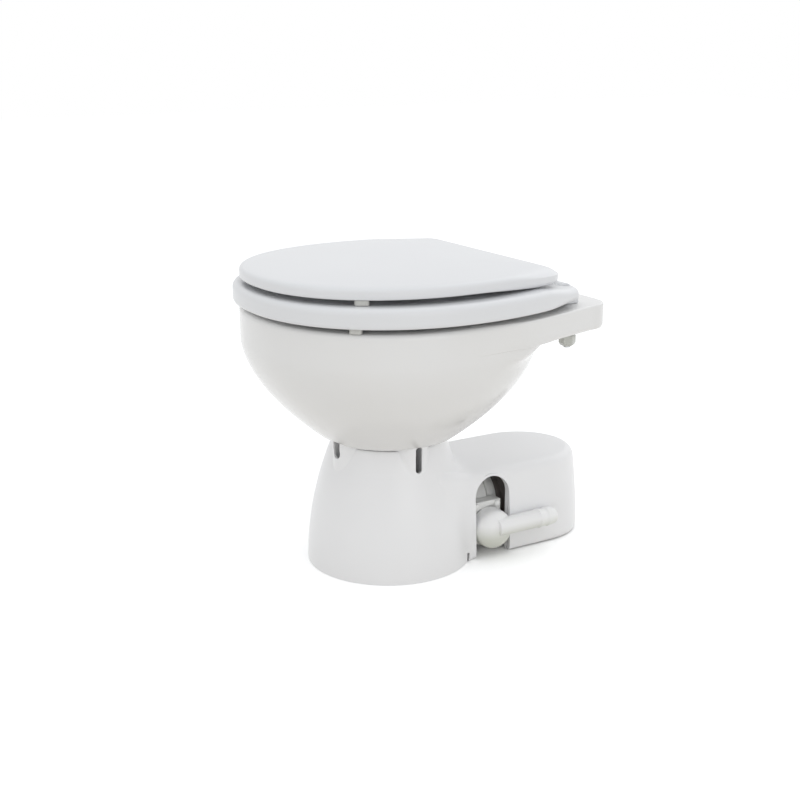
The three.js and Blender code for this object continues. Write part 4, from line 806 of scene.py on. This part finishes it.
soft_block(notch_bm, (HOUSING_HALF - 14, notch_y - 2, -4), (COLUMN_BASE, notch_y + 2, 11.5), 0)
cutters.append(("DIFFERENCE", placed(notch_bm, "notch_cut", abs_white)))
gland_bm = bmesh.new()
turned_shape(gland_bm, "x", rod_profile(8.3, 20, 0), (-HOUSING_HALF - 10, GLAND_Y, GLAND_Z))
cutters.append(("DIFFERENCE", placed(gland_bm, "gland_cut", abs_white)))
carved(pedestal, cutters)
pedestal.data.set_sharp_from_angle(angle=math.radians(38))
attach(pedestal, "fixed")
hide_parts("pedestal")

# Pump. The macerator chamber, the pump chamber with its port, and the seal housing are turned mouldings in
# white plastic, clamped end to end.
PUMP_Z = 50
bm = bmesh.new()
wall = [(34, 0.4), (34, 0), (39, 0), (40, 0.8), (40, 30.9), (39.3, 31.7), (34, 31.7)]
turned_shape(bm, "y", wall, (0, 30.3, PUMP_Z), 64)
chamber = placed(bm, "macerator_chamber", nylon)
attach(chamber, "fixed")
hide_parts("macerator_housing")

PORT_Y, PORT_Z, PORT_FACE = 88, 33.5, 46
PLATE_RADIUS, EAR_HALF, EAR_TOP = 25.5, 20, 63
bm = bmesh.new()
drum = [(0, 0), (40, 0), (41, 0.8), (41, 36.2), (40.2, 37), (36, 37), (35.4, 38), (0, 38)]
turned_shape(bm, "y", drum, (0, 62.3, PUMP_Z), 64)
turned_shape(bm, "x", rod_profile(12.2, 18, 0.2), (30, PORT_Y, PORT_Z))
turned_shape(bm, "x", rod_profile(PLATE_RADIUS, PORT_FACE - 40, 0.8), (40, PORT_Y, PORT_Z), 64)
soft_block(bm, (40, PORT_Y - EAR_HALF, PORT_Z), (PORT_FACE, PORT_Y + EAR_HALF, EAR_TOP), 0.8)
pump = placed(bm, "pump_chamber", nylon)
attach(pump, "fixed")
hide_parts("pump_housing")

bm = bmesh.new()
flange = [(11.3, 0), (35.4, 0), (36, 0.6), (38.6, 0.6), (39.4, 1.4), (39.4, 11.4), (38.6, 12.7), (11.3, 12.7)]
turned_shape(bm, "y", flange, (0, 100.6, PUMP_Z), 64)
seal_ring = placed(bm, "seal_ring", nylon)
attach(seal_ring, "fixed")
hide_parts("seal_housing")

# Motor. A drawn steel can under black stoving enamel, closed by an end cap of the same finish, with a warm
# cast and
# a fine orange peel. Painted light: its colour is a mid grey, far lighter than the enamel, and looks black
# inside the housing.
enamel, tree, surface, place = new_material("black_enamel_painted_lighter")
peel = noise(tree, place, 350, 2)
# Painted light: both tones are warm mid greys, far lighter than black enamel.
coated(tree, surface, peel, ("#77706d", "#7d7572"), {"Roughness": 0.38, "IOR": 1.5}, (peel, 0.15, 0.0003))
bm = bmesh.new()
can = [(34, 0), (36, 0), (37, 1), (37, 8), (36.6, 8.6), (36.6, 9.4), (37, 10), (37, 81.5), (36.2, 82.5),
       (34, 82.5)]
turned_shape(bm, "y", can, (0, 113.6, PUMP_Z), 64)
motor = placed(bm, "motor_can", enamel)
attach(motor, "fixed")
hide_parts("motor_body")
bm = bmesh.new()
cap_profile = [(0, 0), (36.4, 0), (37, 0.6), (37, 6.5), (34.5, 9.4), (31, 10), (14, 10), (0, 10)]
turned_shape(bm, "y", cap_profile, (0, 196.4, PUMP_Z), 64)
end_cap = placed(bm, "motor_cap", enamel)
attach(end_cap, "fixed")
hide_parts("motor_end_cap")

# Collar of the discharge elbow. A round clamp plate in white nylon with one square ear on top, held by two
# pan-head screws whose heads are as white as the plate.
COLLAR_FACE = 55
bm = bmesh.new()
ring = [(21.5, 0.5), (21.5, 0), (24.7, 0), (PLATE_RADIUS, 0.8), (PLATE_RADIUS, 7.9), (24.7, 8.7), (21.9, 8.7),
        (21.5, 8.3)]
turned_shape(bm, "x", ring, (PORT_FACE + 0.3, PORT_Y, PORT_Z), 64)
collar = placed(bm, "elbow_clamp", nylon)
ear_bm = bmesh.new()
soft_block(ear_bm, (PORT_FACE + 0.3, PORT_Y - EAR_HALF, PORT_Z + 15),
           (COLLAR_FACE, PORT_Y + EAR_HALF, EAR_TOP), 0.9)
bore_bm = bmesh.new()
turned_shape(bore_bm, "x", rod_profile(21.5, 20, 0), (42, PORT_Y, PORT_Z), 64)
carved(collar, [("UNION", placed(ear_bm, "clamp_ear", nylon)),
                ("DIFFERENCE", placed(bore_bm, "clamp_bore", nylon))])
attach(collar, "fixed")
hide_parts("elbow_collar")

# Turned stainless steel for screws, studs, pins and shaft: bright, with fine lines round the axis.
stainless, tree, surface, place = new_material("turned_stainless_steel")
fine = add(tree, "ShaderNodeMapping", {"Vector": place, "Scale": (1, 1, 40)})
lines = noise(tree, fine.outputs["Vector"], 90, 4)
coated(tree, surface, lines, ("#c4c5c6", "#b2b3b5"), {"Metallic": 1, "Roughness": 0.27}, (lines, 0.1, 0.0002))
for name, offset in (("front", -14.5), ("rear", 14.5)):
    bm = bmesh.new()
    head = [(0, -13), (2, -13), (2, 0), (4.1, 0), (4.1, 1), (3.6, 2), (2.4, 2.5), (1, 2.6), (0, 2.6)]
    turned_shape(bm, "x", head, (COLLAR_FACE + 0.3, PORT_Y + offset, 58.5), 32)
    screw = placed(bm, "pan_screw_" + name, nylon)
    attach(screw, "fixed")
    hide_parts("collar_screw_" + name)

# Discharge elbow. Moulded in off-white polypropylene, a little translucent, with painted shade darker and
# greener
# towards the floor: a drum with a low dome, and a hose barb that leaves it to the rear. It turns under its
# collar.
DOME_END = 86
BARB_X, BARB_Z, BARB_RADIUS, BARB_LENGTH = 79.5, 38.5, 10.6, 80
polypropylene, tree, surface, place = new_material("polypropylene_painted_shade_below")
parts = add(tree, "ShaderNodeSeparateXYZ", {"Vector": place})
# Painted shade: by height, from a darker greenish grey low on the drum to white above it.
height = add(tree, "ShaderNodeMapRange", {"Value": parts.outputs["Z"], "From Min": 0.026, "From Max": 0.042})
waxy_coat = {
    "Roughness": 0.36, "IOR": 1.49, "Subsurface Weight": 0.08, "Subsurface Radius": (0.006, 0.006, 0.005)}
coated(tree, surface, height.outputs["Result"], ("#d4d6cd", "#f1f1f1"), waxy_coat,
       (noise(tree, place, 60, 2), 0.05, 0.0006))
bm = bmesh.new()
hollow = [(0, 82.2), (8, 81.4), (14, 79), (18, 75), (19.6, 71), (19.6, 61), (17, 57)]
drum = [(17, 48.3), (22.4, 48.3), (23, 48.9), (23, 50.5), (22.6, 51), (21, 51), (21, 57), (22.6, 57),
        (23.3, 57.7), (23.3, 70), (23.0, 72.6), (22.2, 75.2), (20.6, 77.8), (18.2, 80.3), (15.8, 82),
        (14.2, 83), (12.6, 83.8), (9.5, 84.9), (6, 85.6), (3, 85.9), (0, DOME_END)]
turned_shape(bm, "x", hollow + drum, (0, PORT_Y, PORT_Z), 72)
elbow = placed(bm, "elbow_drum", polypropylene)
barb_bm = bmesh.new()
barb = [(0, -2), (BARB_RADIUS, -2), (BARB_RADIUS, 54.5), (11.6, 56), (11.4, 57), (10.5, 64), (10.5, 66.8),
        (11.5, 68.2), (11.3, 69.2), (10.3, 77), (9.9, 79.2), (9.3, BARB_LENGTH), (0, BARB_LENGTH)]
turned_shape(barb_bm, "y", barb, (BARB_X, PORT_Y, BARB_Z), 48)
bore_bm = bmesh.new()
turned_shape(bore_bm, "y", rod_profile(8.5, BARB_LENGTH + 6, 0), (BARB_X, PORT_Y, BARB_Z), 48)
carved(elbow, [("UNION", placed(barb_bm, "barb_shape", polypropylene)),
               ("DIFFERENCE", placed(bore_bm, "barb_bore", polypropylene))])
elbow.data.set_sharp_from_angle(angle=math.radians(42))
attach(elbow, "elbow")
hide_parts("discharge_elbow")

# Flush inlet. A hose elbow in the same white nylon leaves the back of the bowl through a rubber grommet.
rubber, tree, surface, place = new_material("moulded_rubber")
dust = noise(tree, place, 500, 3)
coated(tree, surface, dust, ("#2c2c2b", "#363635"), {"Roughness": 0.78, "IOR": 1.52}, (dust, 0.2, 0.0003))
INLET_Z, INLET_WALL, INLET_RADIUS = 252, BOWL_Y + RIM_HALF_LENGTH, 9.5
bm = bmesh.new()
grommet_profile = [(9.8, -15), (13.8, -15), (13.8, 0.3), (18.4, 0.3), (19.1, 1), (18.8, 2.4), (17.6, 3),
                   (9.8, 3)]
turned_shape(bm, "y", grommet_profile, (0, INLET_WALL, INLET_Z))
grommet = placed(bm, "inlet_ring", rubber)
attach(grommet, "fixed")
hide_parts("inlet_grommet")
bm = bmesh.new()
turn_y = INLET_WALL + 3.3 + INLET_RADIUS
turned_shape(bm, "y", rod_profile(INLET_RADIUS, turn_y - INLET_WALL + 15, 0.6), (0, INLET_WALL - 15, INLET_Z))
inlet = placed(bm, "inlet_hose_elbow", nylon)
ball_bm = bmesh.new()
bmesh.ops.create_uvsphere(ball_bm, u_segments=48, v_segments=24, radius=INLET_RADIUS,
                          matrix=Matrix.Translation((0, turn_y, INLET_Z)))
hose_bm = bmesh.new()
hose = [(0, 0), (8.4, 0), (9.3, 2), (8.6, 9), (9.4, 11), (8.6, 18), (9.4, 20), (8.6, 28), (9.5, 30),
        (9.5, 50), (0, 50)]
turned_shape(hose_bm, "x", hose, (-50, turn_y, INLET_Z))
bore_bm = bmesh.new()
turned_shape(bore_bm, "x", rod_profile(6.5, 60, 0), (-60, turn_y, INLET_Z))
carved(inlet, [("UNION", placed(ball_bm, "inlet_bend", nylon)),
               ("UNION", placed(hose_bm, "inlet_barb", nylon)),
               ("DIFFERENCE", placed(bore_bm, "inlet_bore", nylon))])
inlet.data.set_sharp_from_angle(angle=math.radians(35))
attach(inlet, "fixed")
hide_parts("inlet_elbow")

# Cable gland. A hexagon with a domed nut in black nylon, in the right wall of the housing.
black_nylon, tree, surface, place = new_material("black_nylon")
grain = noise(tree, place, 800, 2)
coated(tree, surface, grain, ("#232221", "#2c2a29"), {"Roughness": 0.5, "IOR": 1.53}, (grain, 0.2, 0.0002))
gland_middle = (-(HOUSING_HALF - (GLAND_Z / HOUSING_Z) ** 2 * SIDE_LEAN), GLAND_Y, GLAND_Z)
bm = bmesh.new()
gland_dome = [(3.5, -7.1), (7.2, -7.1), (8.8, -6), (9.3, -4.6), (9.3, -3.4), (3.5, -3.4)]
turned_shape(bm, "x", gland_dome, gland_middle)
gland_hexagon = [(3.5, -3.6), (10.4, -3.6), (11, -3), (11, -0.6), (10.6, -0.3), (3.5, -0.3)]
turned_shape(bm, "x", gland_hexagon, gland_middle, 6)
turned_shape(bm, "x", [(3.5, -0.4), (8, -0.4), (8, 10.3), (3.5, 10.3)], gland_middle)
gland = placed(bm, "gland_nut", black_nylon)
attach(gland, "fixed")
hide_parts("cable_gland")

# Pieces whose solids already have the right form keep them, and take the finish of what they are made of.
magnet, tree, surface, place = new_material("sintered_ferrite")
grain = noise(tree, place, 700, 3)
coated(tree, surface, grain, ("#48484a", "#3c3c3e"), {"Roughness": 0.62, "Metallic": 0.2})
finish_of = {
    "china": china, "seat_resin": resin, "base_moulding": abs_white, "white_plastic": nylon,
    "elbow_plastic": polypropylene, "black_paint": enamel, "black_plastic": black_nylon, "rubber": rubber,
    "clear_rubber": vinyl, "magnet": magnet, "steel": stainless,
}
for subpart in frame["record"]["subparts"]:
    solid = frame["nodes"][subpart["node"]]
    for index in range(max(1, len(solid.material_slots))):
        if not solid.material_slots:
            solid.data.materials.append(finish_of[subpart["material_slot"]])
        solid.material_slots[index].material = finish_of[subpart["material_slot"]]

# Studio. A pale floor that the camera sees as white wherever it is lit, even soft light from all round, and
# a camera at the photograph's place.


def seen(tree):
    """1 for rays of the camera, of reflections and of clear materials."""
    rays = add(tree, "ShaderNodeLightPath").outputs
    most = rays["Is Camera Ray"]
    for kind in ("Is Glossy Ray", "Is Transmission Ray"):
        most = add(tree, "ShaderNodeMath", {0: most, 1: rays[kind]}, operation="MAXIMUM").outputs[0]
    return most


floor_bm = bmesh.new()
bmesh.ops.create_grid(floor_bm, x_segments=1, y_segments=1, size=8000)
paper, tree, surface, place = new_material("white_paper_floor")
lit = add(tree, "ShaderNodeBsdfDiffuse", {"Color": linear("#ece9e4")})
full = add(tree, "ShaderNodeBsdfDiffuse", {"Color": (1, 1, 1, 1)})
more = add(tree, "ShaderNodeBsdfDiffuse", {"Color": (0.3, 0.3, 0.3, 1)})
both = add(tree, "ShaderNodeAddShader", {0: full.outputs["BSDF"], 1: more.outputs["BSDF"]})
shown = add(tree, "ShaderNodeMixShader", {0: seen(tree), 1: lit.outputs["BSDF"], 2: both.outputs["Shader"]})
tree.links.new(shown.outputs["Shader"], surface)
studio_floor = placed(floor_bm, "studio_floor", paper)

world = bpy.data.worlds.new("studio")
world.use_nodes = True
tree = world.node_tree
tree.nodes.clear()
ambient = add(tree, "ShaderNodeBackground", {"Color": (0.97, 0.985, 1, 1), "Strength": 0.8})
white = add(tree, "ShaderNodeBackground", {"Color": (1, 1, 1, 1), "Strength": 1})
shown = add(tree, "ShaderNodeMixShader", {0: seen(tree), 1: ambient.outputs[0], 2: white.outputs[0]})
output = add(tree, "ShaderNodeOutputWorld")
tree.links.new(shown.outputs["Shader"], output.inputs["Surface"])
bpy.context.scene.world = world

LAMPS = (
    ("overhead_softbox", (0.2, -0.3, 2.4), (0, 0, 0.2), 2.4, 6.2),
    ("front_softbox", (0.6, -2.6, 1.5), (0, 0, 0.2), 1.6, 3),
    ("left_softbox", (2.6, 0, 0.8), (0, 0.05, 0.1), 1.6, 6),
    ("rear_softbox", (-0.7, 2.2, 1.9), (0, 0.1, 0.1), 2.4, 9),
)
for name, spot, aim, size, watts in LAMPS:
    lamp = bpy.data.lights.new(name, "AREA")
    lamp.shape, lamp.size, lamp.energy = "SQUARE", size, watts
    holder = bpy.data.objects.new(name, lamp)
    holder.location = spot
    holder.rotation_euler = (Vector(aim) - Vector(spot)).to_track_quat("-Z", "Y").to_euler()
    bpy.context.scene.collection.objects.link(holder)

AZIMUTH, ELEVATION, DISTANCE = math.radians(58.798), math.radians(16.116), 1.5015
TARGET, PICTURE, PIXELS_PER_MM, PRINCIPAL = Vector((0, -0.0065, 0.18)), 800, 0.86171, (-12.970, 2.893)
level = math.cos(ELEVATION)
back = Vector((math.sin(AZIMUTH) * level, -math.cos(AZIMUTH) * level, math.sin(ELEVATION)))
view = bpy.data.cameras.new("photo_view")
view.sensor_width = 36
view.sensor_fit = "HORIZONTAL"
view.lens = view.sensor_width * PIXELS_PER_MM * DISTANCE / MM / PICTURE
view.shift_x, view.shift_y = PRINCIPAL[0] / PICTURE, PRINCIPAL[1] / PICTURE
view.clip_end = 50
camera = bpy.data.objects.new("photo_camera", view)
camera.location = TARGET + back * DISTANCE
camera.rotation_euler = back.to_track_quat("Z", "Y").to_euler()
bpy.context.scene.collection.objects.link(camera)
bpy.context.scene.camera = camera
bpy.context.scene.view_settings.view_transform = "Standard"
